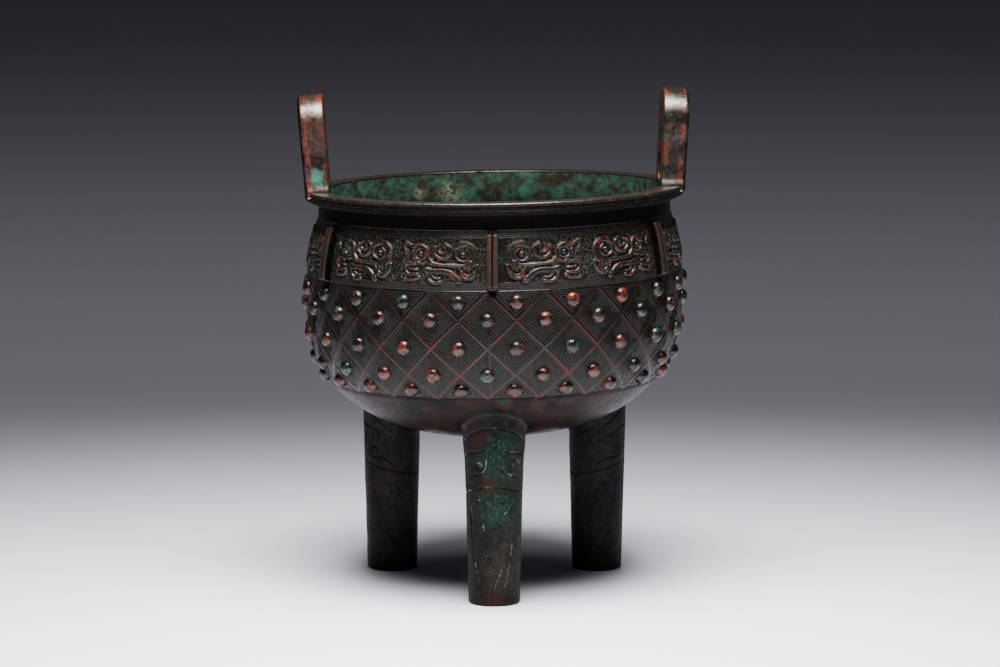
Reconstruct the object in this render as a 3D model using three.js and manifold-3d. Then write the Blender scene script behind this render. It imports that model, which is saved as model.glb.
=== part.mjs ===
// A bronze ding: a round tripod vessel cast as one piece, about 224 mm tall.
// Millimetres, +Z up, the floor at z = 0 under the middle of the three feet, the front towards -Y.

import * as THREE from 'three';
import { mergeVertices } from 'three/addons/utils/BufferGeometryUtils.js';
import Module from 'manifold-3d';

const wasm = await Module();
wasm.setup();

// Bowl
const BELLY_RADIUS = 85;
const BELLY_HEIGHT = 130.2;
const BOWL_DEPTH = 62.3;
const BOWL_SQUARENESS = 2.435;
const SHOULDER_RISE = 37.8;
const SHOULDER_POWER = 2.5;
const NECK_INSET = 5.6;
const WALL = 3.6;
const BOWL_TILT = THREE.MathUtils.degToRad(1);

// Neck and lip
const NECK_RISE = 6.7;
const LIP_DEPTH = 4.3;
const LIP_OVERHANG = 5.6;
const LIP_STEP_DEPTH = 1;
const LIP_STEP_INSET = 1.6;

// Dragon band, measured down the wall from the foot of the neck to the lozenge field
const BAND_DEPTH = 26.6;
const BAND_TOP_MARGIN = 4.9;
const BAND_FOOT_MARGIN = 3.6;
const BAND_LINE_GAP = 1;

// Lozenge field
const LOZENGES_ROUND = 21;
const BOSS_ROWS = 5;
const ROW_PITCH = 12.65;
const LATTICE_TURN = THREE.MathUtils.degToRad(-2);
const LATTICE_WIDTH = 2.6;
const LATTICE_RELIEF = 0.5;

// Bosses
const BOSS_RADIUS = 3.35;
const BOSS_HEIGHT = 3;
const BOSS_SIDES = 6;
const BOSS_SHOULDER_SPREAD = 0.78;
const BOSS_SHOULDER_LIFT = 0.62;
const BOSS_CLEARANCE = 0.2;

// Flanges that part the band into panels
const FLANGES = 6;
const FLANGE_TURN = THREE.MathUtils.degToRad(-0.5);
const FLANGE_WIDTH = 5;
const FLANGE_HEIGHT = 3.6;
const FLANGE_TOP_GAP = 2;
const FLANGE_FOOT_GAP = 1;
const FLANGE_EDGE = 0.7;
const FLANGE_STEPS = 2;

// Dragons, two to a panel
const DRAGON_RELIEF = 1.2;
const DRAGON_GAP = 3.4;

// Legs
const LEGS = 3;
const LEG_CIRCLE = 54.7;
const LEG_TOP_RADIUS = 13.2;
const LEG_FOOT_RADIUS = 11.5;
const LEG_FILLET = 5;
const LEG_EDGE = 1;
const LEG_SIDES = 14;
const FILLET_MIDDLE = { rise: 0.7, share: 0.28 };

// Loop handles that stand on the lip
const HANDLE_RISE = 42.4;
const HANDLE_SPAN = 37.5;
const HANDLE_STRAP = 8.5;
const HANDLE_FOOT_THICKNESS = 10.9;
const HANDLE_TOP_THICKNESS = 11.6;
const HANDLE_SHOULDER = 14;
const HANDLE_SHOULDER_STEPS = 3;
const HANDLE_BEVEL = 1.7;
const HANDLE_EDGE = 0.8;
const HANDLE_FLARE = 1.6;
const HANDLE_LEAN = THREE.MathUtils.degToRad(3.6);
const HANDLE_TURN = THREE.MathUtils.degToRad(1.5);

// How deep an added form is rooted in what carries it
const ROOT = 1;

// Points to follow the bowl's profile by, and where rings lie on its skins: shares of the way down,
// first those with a corner to each column of the lozenge field, then those with half as many
const PROFILE_STEPS = 400;
const UNDERSIDE_RINGS = { fine: [0.15], coarse: [0.4, 0.8] };
const INSIDE_RINGS = { fine: [0.12], coarse: [0.27, 0.4, 0.5, 0.61, 0.74, 0.9] };

const COLUMNS = LOZENGES_ROUND * 2;
const COLUMN_ANGLE = (Math.PI * 2) / COLUMNS;
const BOWL_FOOT = BELLY_HEIGHT - BOWL_DEPTH;
const NECK_RADIUS = BELLY_RADIUS - NECK_INSET;
const NECK_FOOT = BELLY_HEIGHT + SHOULDER_RISE;
const NECK_TOP = NECK_FOOT + NECK_RISE;
const LIP_FOOT = NECK_TOP + LIP_STEP_DEPTH;
const RIM_HEIGHT = LIP_FOOT + LIP_DEPTH;
const RIM_RADIUS = NECK_RADIUS + LIP_OVERHANG;
const UP = new THREE.Vector3(0, 0, 1);

// Solids and meshes

function toSolid(geometry) {
  const bare = geometry.clone();
  bare.deleteAttribute('normal');
  bare.deleteAttribute('uv');
  const welded = mergeVertices(bare, 1e-4);
  const mesh = new wasm.Mesh({
    numProp: 3,
    vertProperties: new Float32Array(welded.attributes.position.array),
    triVerts: new Uint32Array(welded.index.array),
  });
  return new wasm.Manifold(mesh);
}

function toGeometry(solid) {
  const mesh = solid.getMesh();
  const geometry = new THREE.BufferGeometry();
  geometry.setAttribute('position', new THREE.BufferAttribute(mesh.vertProperties, 3));
  geometry.setIndex(new THREE.BufferAttribute(mesh.triVerts, 1));
  return geometry;
}

// Triangles between two closed loops. Seen from outside, both run clockwise about the inner one,
// or rightwards where the inner one is the lower. Turns from 0 to 1 say which corners face each other.
function joinLoops(corners, outer, inner, outerTurns = null, innerTurns = null) {
  const turnAt = (loop, turns, i) => (turns ? turns[i % loop.length] : (i % loop.length) / loop.length)
    + Math.floor(i / loop.length);
  let i = 0;
  let j = 0;
  while (i < outer.length || j < inner.length) {
    const outerNext = i < outer.length ? turnAt(outer, outerTurns, i + 1) : Infinity;
    const innerNext = j < inner.length ? turnAt(inner, innerTurns, j + 1) : Infinity;
    const a = outer[i % outer.length];
    const b = inner[j % inner.length];
    if (outerNext <= innerNext) {
      corners.push(a, b, outer[(i + 1) % outer.length]);
      i += 1;
    } else {
      corners.push(a, b, inner[(j + 1) % inner.length]);
      j += 1;
    }
  }
}

// Closed skin through rings of as many points each, which turn right-handed about the way they go
function loft(rings) {
  const corners = [];
  for (let i = 1; i < rings.length; i += 1) joinLoops(corners, rings[i], rings[i - 1]);
  const first = rings[0];
  const last = rings[rings.length - 1];
  for (let j = 1; j < first.length - 1; j += 1) {
    corners.push(first[0], first[j + 1], first[j]);
    corners.push(last[0], last[j], last[j + 1]);
  }
  return new THREE.BufferGeometry().setFromPoints(corners);
}

// The bowl's outside: points down its profile, and how far down the wall each one is

function shoulderPoint(rise) {
  const inset = NECK_INSET * (rise / SHOULDER_RISE) ** SHOULDER_POWER;
  return new THREE.Vector2(BELLY_RADIUS - inset, BELLY_HEIGHT + rise);
}

function underBellyPoint(turn) {
  const power = 2 / BOWL_SQUARENESS;
  const radius = BELLY_RADIUS * Math.max(0, Math.cos(turn)) ** power;
  return new THREE.Vector2(radius, BELLY_HEIGHT - BOWL_DEPTH * Math.sin(turn) ** power);
}

function walkProfile(steps) {
  const points = [];
  for (let i = 0; i < steps; i += 1) points.push(shoulderPoint(SHOULDER_RISE * (1 - i / steps)));
  for (let i = 0; i <= steps; i += 1) points.push(underBellyPoint((Math.PI / 2) * (i / steps)));
  const walked = [0];
  for (let i = 1; i < points.length; i += 1) {
    walked.push(walked[i - 1] + points[i].distanceTo(points[i - 1]));
  }
  return { points, walked };
}

const profile = walkProfile(PROFILE_STEPS);
const PROFILE_LENGTH = profile.walked[profile.walked.length - 1];

function profileAt(distance) {
  const walked = THREE.MathUtils.clamp(distance, 0, PROFILE_LENGTH);
  let i = 1;
  while (i < profile.walked.length - 1 && profile.walked[i] < walked) i += 1;
  const before = profile.points[i - 1];
  const after = profile.points[i];
  const share = (walked - profile.walked[i - 1]) / (profile.walked[i] - profile.walked[i - 1]);
  const along = after.clone().sub(before).normalize();
  return { point: before.clone().lerp(after, share), normal: new THREE.Vector2(-along.y, along.x) };
}

// Angles run from the front to the right, seen from outside
function around(angle, radius, z) {
  return new THREE.Vector3(radius * Math.sin(angle), -radius * Math.cos(angle), z);
}

function onBowl(angle, distance, relief) {
  const { point, normal } = profileAt(distance);
  return around(angle, point.x + normal.x * relief, point.y + normal.y * relief);
}

function ringOf(count, pointAt) {
  return Array.from({ length: count }, (_, i) => pointAt(LATTICE_TURN + (Math.PI * 2 * i) / count));
}

function levelRing(radius, z) {
  return ringOf(COLUMNS, (angle) => around(angle, radius, z));
}

function bowlRing(distance, relief = 0, count = COLUMNS) {
  return ringOf(count, (angle) => onBowl(angle, distance, relief));
}

// Rings at shares of the way from a distance down the wall to its end under the bowl
function ringsDown({ fine, coarse }, from, relief) {
  const ringAt = (count) => (share) => (
    bowlRing(THREE.MathUtils.lerp(from, PROFILE_LENGTH, share), relief, count)
  );
  return [...fine.map(ringAt(COLUMNS)), ...coarse.map(ringAt(COLUMNS / 2))];
}

function addLid(corners, ring, faceUp) {
  const middle = new THREE.Vector3(0, 0, ring[0].z);
  for (let i = 0; i < ring.length; i += 1) {
    const next = ring[(i + 1) % ring.length];
    corners.push(middle, faceUp ? ring[i] : next, faceUp ? next : ring[i]);
  }
}

function addTube(corners, rings) {
  for (let i = 1; i < rings.length; i += 1) joinLoops(corners, rings[i - 1], rings[i]);
}

// Lozenge field: a place is a column of half a lozenge round and a row of half a lozenge down

const FIELD_FOOT = BAND_DEPTH + ROW_PITCH * (BOSS_ROWS - 1);
const HALF_DIAGONAL = Math.SQRT1_2;
const HALF_LOZENGE_CENTRE = 1 / (1 + Math.SQRT2);

function onField([column, row], relief) {
  return onBowl(LATTICE_TURN + column * COLUMN_ANGLE, BAND_DEPTH + row * ROW_PITCH, relief);
}

function columnWidth(row) {
  return profileAt(BAND_DEPTH + row * ROW_PITCH).point.x * COLUMN_ANGLE;
}

// Share of a turn, clockwise from straight up, at which a place lies from a boss
function turnFrom(boss, place) {
  const across = (place[0] - boss[0]) * columnWidth(boss[1]);
  const up = (boss[1] - place[1]) * ROW_PITCH;
  return (Math.atan2(across, up) / (Math.PI * 2) + 1) % 1;
}

function bossRing([column, row], radius, relief) {
  const ring = [];
  for (let i = 0; i < BOSS_SIDES; i += 1) {
    const turn = (Math.PI * 2 * (i + 0.5)) / BOSS_SIDES;
    const across = (radius * Math.sin(turn)) / columnWidth(row);
    const up = (radius * Math.cos(turn)) / ROW_PITCH;
    ring.push(onField([column + across, row - up], relief));
  }
  return ring;
}

function addBoss(corners, boss) {
  const shoulderRelief = BOSS_HEIGHT * BOSS_SHOULDER_LIFT - LATTICE_RELIEF;
  const foot = bossRing(boss, BOSS_RADIUS, -LATTICE_RELIEF);
  const shoulder = bossRing(boss, BOSS_RADIUS * BOSS_SHOULDER_SPREAD, shoulderRelief);
  const tip = onField(boss, BOSS_HEIGHT - LATTICE_RELIEF);
  joinLoops(corners, foot, shoulder);
  for (let i = 0; i < BOSS_SIDES; i += 1) {
    corners.push(shoulder[i], tip, shoulder[(i + 1) % BOSS_SIDES]);
  }
  return foot;
}

// A lozenge, cut in half where it lies on the field's edge: its side of the lattice, panel and boss
function addLozenge(corners, column, row) {
  const top = Math.max(row - 1, 0);
  const foot = Math.min(row + 1, BOSS_ROWS - 1);
  const cut = Math.sign(foot + top - 2 * row);
  const places = [[column, top], [column + 1, row], [column, foot], [column - 1, row]];
  const centre = [column, row + cut * HALF_LOZENGE_CENTRE];
  const inradius = ROW_PITCH * (cut ? HALF_LOZENGE_CENTRE : HALF_DIAGONAL);
  const inset = (width) => places.map((place) => [0, 1].map(
    (axis) => place[axis] + ((centre[axis] - place[axis]) * width) / inradius,
  ));
  const edge = places.map((place) => onField(place, 0));
  const panelPlaces = inset(LATTICE_WIDTH / 2);
  const panel = panelPlaces.map((place) => onField(place, -LATTICE_RELIEF));
  const bossShift = BOSS_RADIUS + LATTICE_WIDTH / 2 + BOSS_CLEARANCE;
  const boss = [column, row + (cut * bossShift) / ROW_PITCH];
  joinLoops(corners, edge, panel);
  const bossFoot = addBoss(corners, boss);
  const footTurns = bossFoot.map((_, i) => (i + 0.5) / BOSS_SIDES);
  joinLoops(corners, panel, bossFoot, panelPlaces.map((place) => turnFrom(boss, place)), footTurns);
}

function addField(corners) {
  for (let row = 0; row < BOSS_ROWS; row += 1) {
    for (let column = (row + 1) % 2; column < COLUMNS; column += 2) addLozenge(corners, column, row);
  }
}

// Bowl, neck and lip, still filled in, and the hollow inside them

function filledBowl() {
  const corners = [];
  const rim = levelRing(RIM_RADIUS, RIM_HEIGHT);
  addLid(corners, rim, true);
  addTube(corners, [
    rim,
    levelRing(RIM_RADIUS, LIP_FOOT),
    levelRing(RIM_RADIUS - LIP_STEP_INSET, LIP_FOOT),
    levelRing(RIM_RADIUS - LIP_STEP_INSET, NECK_TOP),
    levelRing(NECK_RADIUS, NECK_TOP),
    bowlRing(0),
    bowlRing(BAND_TOP_MARGIN - BAND_LINE_GAP),
    bowlRing(BAND_DEPTH - BAND_FOOT_MARGIN + BAND_LINE_GAP),
    bowlRing(BAND_DEPTH),
  ]);
  addField(corners);
  const underside = [bowlRing(FIELD_FOOT), ...ringsDown(UNDERSIDE_RINGS, FIELD_FOOT, 0)];
  addTube(corners, underside);
  addLid(corners, underside[underside.length - 1], false);
  return new THREE.BufferGeometry().setFromPoints(corners);
}

// What lies deeper than a given distance inside the wall
function insideOf(depth) {
  const corners = [];
  const mouth = levelRing(NECK_RADIUS - depth, RIM_HEIGHT);
  const neck = levelRing(NECK_RADIUS - depth, NECK_FOOT);
  const rings = [mouth, neck, ...ringsDown(INSIDE_RINGS, 0, -depth)];
  addLid(corners, mouth, true);
  addTube(corners, rings);
  addLid(corners, rings[rings.length - 1], false);
  return new THREE.BufferGeometry().setFromPoints(corners);
}

// The bowl isn't cast quite level: it rises to the right, and its sides stay upright
function skewed(geometry) {
  const rise = new THREE.Matrix4().makeShear(0, Math.tan(BOWL_TILT), 0, 0, 0, 0);
  return geometry.clone().applyMatrix4(rise);
}

// Flanges

function flange(angle) {
  const half = FLANGE_WIDTH / 2;
  const section = [
    [FLANGE_EDGE - half, FLANGE_HEIGHT],
    [-half, -ROOT],
    [half, -ROOT],
    [half - FLANGE_EDGE, FLANGE_HEIGHT],
  ];
  const rings = [];
  const foot = BAND_DEPTH - FLANGE_FOOT_GAP;
  for (let i = 0; i <= FLANGE_STEPS; i += 1) {
    const distance = THREE.MathUtils.lerp(FLANGE_TOP_GAP, foot, i / FLANGE_STEPS);
    const radius = profileAt(distance).point.x;
    rings.push(section.map(([across, relief]) => onBowl(angle + across / radius, distance, relief)));
  }
  return loft(rings);
}

// Dragons: strokes of a drawing of one that faces left, in millimetres from its middle

const DRAWN_HEIGHT = 18;
const DRAWN_HALF_LENGTH = 17.4;
const DRAWN_STROKES = {
  snout: { width: 1.7, steps: 2, points: [[-12, 6.8], [-16.9, 8], [-16.2, 3.4]] },
  back: {
    width: 2.5,
    steps: 8,
    points: [
      [-10.8, 7], [-6.4, 6], [-4.2, 2], [-0.5, -0.7],
      [10.5, -1], [16.4, 3.4], [12.4, 7.8], [6.8, 6.8],
    ],
  },
  jaw: { width: 1.8, steps: 3, points: [[-8.4, -1], [-15, -1.2], [-13.6, -5.4], [-8, -4.4]] },
  belly: { width: 2.3, steps: 2, points: [[-5.6, -4.2], [3.4, -4.6], [8.6, -8.2]] },
  crest: { width: 1.9, steps: 3, points: [[-2, 5.6], [0, 3], [3.6, 3.2], [3.8, 6], [1.4, 7.4]] },
};
const DRAWN_EYE = { centre: [-9.4, 2.6], radius: 2, sides: 5 };

const DRAGON_HEIGHT = BAND_DEPTH - BAND_TOP_MARGIN - BAND_FOOT_MARGIN;
const DRAGON_SCALE = DRAGON_HEIGHT / DRAWN_HEIGHT;
const DRAGON_MIDDLE = BAND_TOP_MARGIN + DRAGON_HEIGHT / 2;
const DRAGON_RADIUS = profileAt(DRAGON_MIDDLE).point.x;

function onDragon(angle, facing, [x, y], relief) {
  const across = (-facing * x * DRAGON_SCALE) / DRAGON_RADIUS;
  return onBowl(angle + across, DRAGON_MIDDLE - y * DRAGON_SCALE, relief);
}

function dragonStroke(stroke, angle, facing) {
  const curve = new THREE.SplineCurve(stroke.points.map(([x, y]) => new THREE.Vector2(x, y)));
  const rings = [];
  for (let i = 0; i <= stroke.steps; i += 1) {
    const at = curve.getPointAt(i / stroke.steps);
    const along = curve.getTangentAt(i / stroke.steps);
    const rooted = (stroke.width / 2) * (1 + ROOT / DRAGON_RELIEF);
    const side = new THREE.Vector2(along.y, -along.x).multiplyScalar(-facing * rooted);
    const ridge = onDragon(angle, facing, [at.x, at.y], DRAGON_RELIEF);
    const right = onDragon(angle, facing, [at.x + side.x, at.y + side.y], -ROOT);
    const left = onDragon(angle, facing, [at.x - side.x, at.y - side.y], -ROOT);
    rings.push([ridge, right, left]);
  }
  return loft(rings);
}

function dragonEye(angle, facing) {
  const { centre, radius, sides } = DRAWN_EYE;
  const ringAt = (reach, relief) => Array.from({ length: sides }, (_, i) => {
    const turn = (Math.PI * 2 * i) / sides;
    const x = centre[0] - facing * reach * Math.cos(turn);
    return onDragon(angle, facing, [x, centre[1] + reach * Math.sin(turn)], relief);
  });
  return loft([ringAt(radius, -ROOT), ringAt(radius / 3, DRAGON_RELIEF)]);
}

// Every other flange stands over a leg. The dragons turn their tails to those and face the others.
function dragons() {
  const solids = [];
  const panelAngle = (Math.PI * 2) / FLANGES;
  const halfLength = DRAWN_HALF_LENGTH * DRAGON_SCALE;
  const fromFlange = (halfLength + DRAGON_GAP + FLANGE_WIDTH / 2) / DRAGON_RADIUS;
  for (let i = 0; i < FLANGES; i += 1) {
    const start = FLANGE_TURN + i * panelAngle;
    const facing = i % 2 === 0 ? 1 : -1;
    [start + fromFlange, start + panelAngle - fromFlange].forEach((angle) => {
      Object.values(DRAWN_STROKES).forEach((stroke) => solids.push(dragonStroke(stroke, angle, facing)));
      solids.push(dragonEye(angle, facing));
    });
  }
  return solids;
}

// Handles: a strap bent over in a loop, its outer face flush with the lip

function handlePath() {
  const low = -LIP_DEPTH / 2;
  const reach = HANDLE_SPAN / 2 - HANDLE_STRAP / 2;
  const bend = HANDLE_SHOULDER - HANDLE_STRAP / 2;
  const crown = HANDLE_RISE - HANDLE_STRAP / 2;
  const side = [
    { y: -reach, z: low, turn: 0, flare: HANDLE_FLARE },
    { y: -reach, z: HANDLE_EDGE / 2, turn: 0, flare: HANDLE_FLARE },
    { y: -reach, z: HANDLE_FLARE + HANDLE_EDGE, turn: 0, flare: 0 },
  ];
  for (let i = 0; i <= HANDLE_SHOULDER_STEPS; i += 1) {
    const turn = (Math.PI / 2) * (i / HANDLE_SHOULDER_STEPS);
    side.push({
      y: -reach + bend * (1 - Math.cos(turn)),
      z: crown - bend * (1 - Math.sin(turn)),
      turn,
      flare: 0,
    });
  }
  const mirror = side.map((stop) => ({ ...stop, y: -stop.y, turn: Math.PI - stop.turn })).reverse();
  return [...side, ...mirror];
}

function handle(facing) {
  const middle = RIM_RADIUS - HANDLE_FOOT_THICKNESS / 2;
  const half = HANDLE_STRAP / 2;
  const rings = handlePath().map(({ y, z, turn, flare }) => {
    const share = THREE.MathUtils.clamp(z / HANDLE_RISE, 0, 1);
    const x = THREE.MathUtils.lerp(HANDLE_FOOT_THICKNESS, HANDLE_TOP_THICKNESS, share) / 2;
    const section = [
      [-x, half + flare - HANDLE_EDGE],
      [HANDLE_EDGE - x, half + flare],
      [x - HANDLE_BEVEL, half + flare],
      [x, half + flare - HANDLE_BEVEL],
      [x, HANDLE_EDGE - half - flare],
      [x - HANDLE_EDGE, -half - flare],
      [HANDLE_EDGE - x, -half - flare],
      [-x, HANDLE_EDGE - half - flare],
    ];
    return section.map(([across, out]) => new THREE.Vector3(
      across,
      y - out * Math.cos(turn),
      z + out * Math.sin(turn),
    ));
  });
  const loop = loft(rings);
  loop.rotateY(HANDLE_LEAN - facing * BOWL_TILT).translate(middle, 0, RIM_HEIGHT);
  return loop.rotateZ(HANDLE_TURN + (facing > 0 ? 0 : Math.PI));
}

// Legs: round, tapered to the foot, with a fillet towards the middle of the bowl

function leg(angle) {
  const filletFoot = BOWL_FOOT - LEG_FILLET;
  const filletTop = BOWL_FOOT + LEG_FILLET;
  const top = BELLY_HEIGHT - BOWL_DEPTH / 2;
  const levels = [
    { z: 0, edge: LEG_EDGE, fillet: 0 },
    { z: LEG_EDGE, edge: 0, fillet: 0 },
    { z: filletFoot, edge: 0, fillet: 0 },
    {
      z: THREE.MathUtils.lerp(filletFoot, filletTop, FILLET_MIDDLE.rise),
      edge: 0,
      fillet: FILLET_MIDDLE.share,
    },
    { z: filletTop, edge: 0, fillet: 1 },
    { z: top, edge: 0, fillet: 1 },
  ];
  const rings = levels.map(({ z, edge, fillet }) => {
    const share = Math.min(1, z / BOWL_FOOT);
    const radius = THREE.MathUtils.lerp(LEG_FOOT_RADIUS, LEG_TOP_RADIUS, share) - edge;
    return Array.from({ length: LEG_SIDES }, (_, i) => {
      const turn = (Math.PI * 2 * i) / LEG_SIDES;
      const inward = (1 - Math.cos(turn)) / 2;
      const reach = radius + fillet * LEG_FILLET * inward ** 3;
      const out = LEG_CIRCLE + reach * Math.cos(turn);
      return new THREE.Vector3(reach * Math.sin(turn), -out, z).applyAxisAngle(UP, angle);
    });
  });
  return loft(rings);
}

// The casting

function casting() {
  const added = [handle(1), handle(-1), ...dragons()];
  for (let i = 0; i < FLANGES; i += 1) added.push(flange(FLANGE_TURN + (Math.PI * 2 * i) / FLANGES));
  let bowl = toSolid(filledBowl());
  added.forEach((geometry) => {
    bowl = bowl.add(toSolid(geometry));
  });
  bowl = bowl.subtract(toSolid(insideOf(WALL)));
  let whole = toSolid(skewed(toGeometry(bowl)));
  const core = toSolid(skewed(insideOf(WALL / 2)));
  for (let i = 0; i < LEGS; i += 1) {
    whole = whole.add(toSolid(leg((Math.PI * 2 * i) / LEGS)).subtract(core));
  }
  return toGeometry(whole);
}

const bronze = new THREE.MeshStandardMaterial({ color: 0x3a3229, roughness: 0.45, metalness: 0.75 });
const vessel = new THREE.Mesh(casting(), bronze);
vessel.name = 'ding_vessel';

const group = new THREE.Group();
group.add(vessel);

export default group;
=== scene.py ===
"""A bronze ding, dressed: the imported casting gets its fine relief, corrosion and wear.

Lengths are in millimetres until a mesh is made. Angles run from the front (-Y) to the right (+X).
Distances run down the bowl's wall from the foot of its neck. A relief is a height above the wall.
"""

import math

import bpy
import numpy as np
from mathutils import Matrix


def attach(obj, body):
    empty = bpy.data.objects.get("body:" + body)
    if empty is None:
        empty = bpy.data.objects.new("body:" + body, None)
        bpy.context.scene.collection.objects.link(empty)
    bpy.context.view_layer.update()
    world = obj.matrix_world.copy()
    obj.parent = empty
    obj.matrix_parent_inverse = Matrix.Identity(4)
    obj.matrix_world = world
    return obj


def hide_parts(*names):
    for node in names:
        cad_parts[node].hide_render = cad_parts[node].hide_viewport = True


MM = 0.001
NODE = "ding_vessel"
BODY = "root"

# The bowl, as in the part
BELLY_RADIUS = 85
BELLY_HEIGHT = 130.2
BOWL_DEPTH = 62.3
BOWL_SQUARENESS = 2.435
SHOULDER_RISE = 37.8
SHOULDER_POWER = 2.5
NECK_INSET = 5.6
WALL = 3.6
BOWL_TILT = math.radians(1)
PROFILE_STEPS = 800
WALL_STEPS = 44

# Neck and lip
NECK_RISE = 6.7
LIP_DEPTH = 4.3
LIP_OVERHANG = 5.6
LIP_STEP_DEPTH = 1
LIP_STEP_INSET = 1.6
LIP_ROUND = 0.8
LIP_LINE = 0.25
RIM_SEGMENTS = 252
WANDER = 0.18

# Dragon band
BAND_DEPTH = 26.6
BAND_TOP_MARGIN = 4.9
BAND_FOOT_MARGIN = 3.6
BAND_COLUMNS = 440
BAND_ROWS = 55
BAND_LINES = 5
BAND_LINE_PITCH = 0.85
ROWS_PER_LINE = 3
BAND_LINE_RELIEF = 0.35
GROUND_CELL = 2.3
GROUND_RELIEF = 0.4
DRAGON_RELIEF = 1.2
DRAGON_GAP = 3.4
DRAGON_MOAT = 0.7
DRAGON_GROOVE = 0.3
DRAGON_GROOVE_WIDTH = 0.4

# Lozenge field; a line's width, a strip's, and the spirals' sides are counted in lines
LOZENGES_ROUND = 21
BOSS_ROWS = 5
ROW_PITCH = 12.65
LATTICE_TURN = math.radians(-2)
LATTICE_WIDTH = 2.6
LATTICE_RELIEF = 0.5
LINES_PER_LOZENGE = 17
POINTS_PER_LINE = 3
LINE_HALF_WIDTH = 0.25
STRIP_HALF_WIDTH = 0.9
SPIRAL_SIDES = (5, 8)
NESTED_LINES = 4.4
NESTED_GAP = 0.3
SEAM_TURN = math.radians(-1.3)
SEAM_RELIEF = 0.45
SEAM_WIDTH = 0.45
SEAM_START_ROWS = (1.2, 1.5)
SEAM_RUB = 0.8
WORN_DEPTH = 0.12

# Bosses
BOSS_RADIUS = 3.35
BOSS_HEIGHT = 3
BOSS_CLEARANCE = 0.2
BOSS_SPREAD = 1.05
BOSS_SIZES = (0.96, 1.02)
BOSS_HEIGHTS = (0.9, 1)
BOSS_FULLNESS = 0.75
BOSS_SKIRT = 1.06
BOSS_SINK = 0.3
BOSS_SEGMENTS = 24
BOSS_RINGS = 6

# Flanges
FLANGES = 6
FLANGE_TURN = math.radians(-0.5)
FLANGE_WIDTH = 5
FLANGE_HEIGHT = 3.6
FLANGE_TOP_GAP = 2
FLANGE_FOOT_GAP = 1
FLANGE_EDGE = 0.7
FLANGE_END = 1.3
FLANGE_GROOVE = 0.55
FLANGE_GROOVE_WIDTH = 0.45
FLANGE_NOTCHES = 4
FLANGE_NOTCH_DEPTH = 0.8
FLANGE_COLUMNS = 15
FLANGE_ROWS = 65
HOLLOW_DEPTH = 0.9
HOLLOW_DROP = 0.3
HOLLOW_RADIUS = 1.7

# Legs
LEGS = 3
LEG_CIRCLE = 54.7
LEG_TOP_RADIUS = 13.2
LEG_FOOT_RADIUS = 11.5
LEG_FILLET = 5
LEG_ROOT_FILLET = 0.8
LEG_EDGE = 1
LEG_COLUMNS = 150
LEG_ROWS = 184
LEG_FINE_FRONT = 0.25
INCISION = 0.4

# Handles
HANDLE_RISE = 42.4
HANDLE_SPAN = 37.5
HANDLE_STRAP = 8.5
HANDLE_FOOT_THICKNESS = 10.9
HANDLE_TOP_THICKNESS = 11.6
HANDLE_SHOULDER = 14
HANDLE_BEVEL = 1.7
HANDLE_EDGE = 0.8
HANDLE_FLARE = 1.6
HANDLE_LEAN = math.radians(3.6)
HANDLE_TURN = math.radians(1.5)
HANDLE_STEP = 1.2
HANDLE_TUCK = 2.4
HANDLE_INSET = 0.05

# How rubbed a surface is: 0 deep in a groove, 1 on a bare crest; low values also paint shade on the neck, in
# the flange hollows and on the handles' bevels
GROOVE = 0.05
LINE_CREST = 0.6
NEUTRAL = 0.45
STRIP = 0.85
RIM_TOP = 0.62

# Colours, as linear light
BLACK_BRONZE = (0.0035, 0.003, 0.0025)
BROWN_BRONZE = (0.012, 0.008, 0.0058)
GREEN_BRONZE = (0.004, 0.008, 0.006)
LINE_BRONZE = (0.0175, 0.0158, 0.0125)
RUBBED_BRONZE = (0.03, 0.028, 0.022)
STRIP_BRONZE = (0.026, 0.018, 0.0135)
GREY_BRONZE = (0.068, 0.06, 0.053)
GREY_BOSS = (0.028, 0.026, 0.023)
PINK_BOSS = (0.038, 0.026, 0.022)
COPPER_BRONZE = (0.085, 0.042, 0.03)
CUPRITE = (0.085, 0.013, 0.0035)
DULL_RED = (0.045, 0.01, 0.006)
RED_BROWN = (0.022, 0.008, 0.006)
DEEP_GREEN = (0.005, 0.018, 0.012)
MALACHITE = (0.009, 0.047, 0.026)
INSIDE_GREEN = (0.044, 0.118, 0.08)
INSIDE_BROWN = (0.034, 0.026, 0.019)
INSIDE_RED = (0.06, 0.024, 0.019)
TURQUOISE = (0.052, 0.19, 0.135)
PALE_GREEN = (0.24, 0.28, 0.18)
OCHRE = (0.14, 0.12, 0.055)
DUST = (0.055, 0.055, 0.046)

# Corrosion: how noise turns into patches and spots, and (size, depth) of small unevenness
DULL_SHEEN = 0.06
PATCH_SPREAD = 0.45
PATCH_ROUGHNESS = 0.62
SPOT_GRAIN = 0.45
SPOT_FRAY = 1.2
SPOT_REACH = 1.6
SPOT_CORE = 0.55
TINT_LEANING = 0.12
FINE_PITS = (0.9, 0.07)
GRAIN = (0.3, 0.02)

# The photo's camera, fitted to the rim, the belly and the feet
CAMERA_DISTANCE = 1733.8
CAMERA_HEIGHT = 339.4
CAMERA_SIDE = 2.56
CAMERA_PITCH = 0.13
CAMERA_FOCAL = 3858.3
IMAGE_WIDTH = 1000
SENSOR_WIDTH = 36
CAMERA_REACH = 20000

# Stage; a light has a place, a side, watts and degrees of spread
FLOOR_SIZE = 6000
FLOOR_COLOUR = (0.77, 0.75, 0.86)
FLOOR_ROUGHNESS = 0.7
BACKDROP_DISTANCE = 6000
BACKDROP_CURVE = 1200
BACKDROP_STEPS = 24
WORLD_COLOUR = (0.63, 0.6, 0.65)
WORLD_STRENGTH = 0.038
LIGHTS = {
    "key": ((0, -300, 800), 500, 11, 80),
    "high": ((0, 0, 2500), 1500, 13, 180),
}

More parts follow.
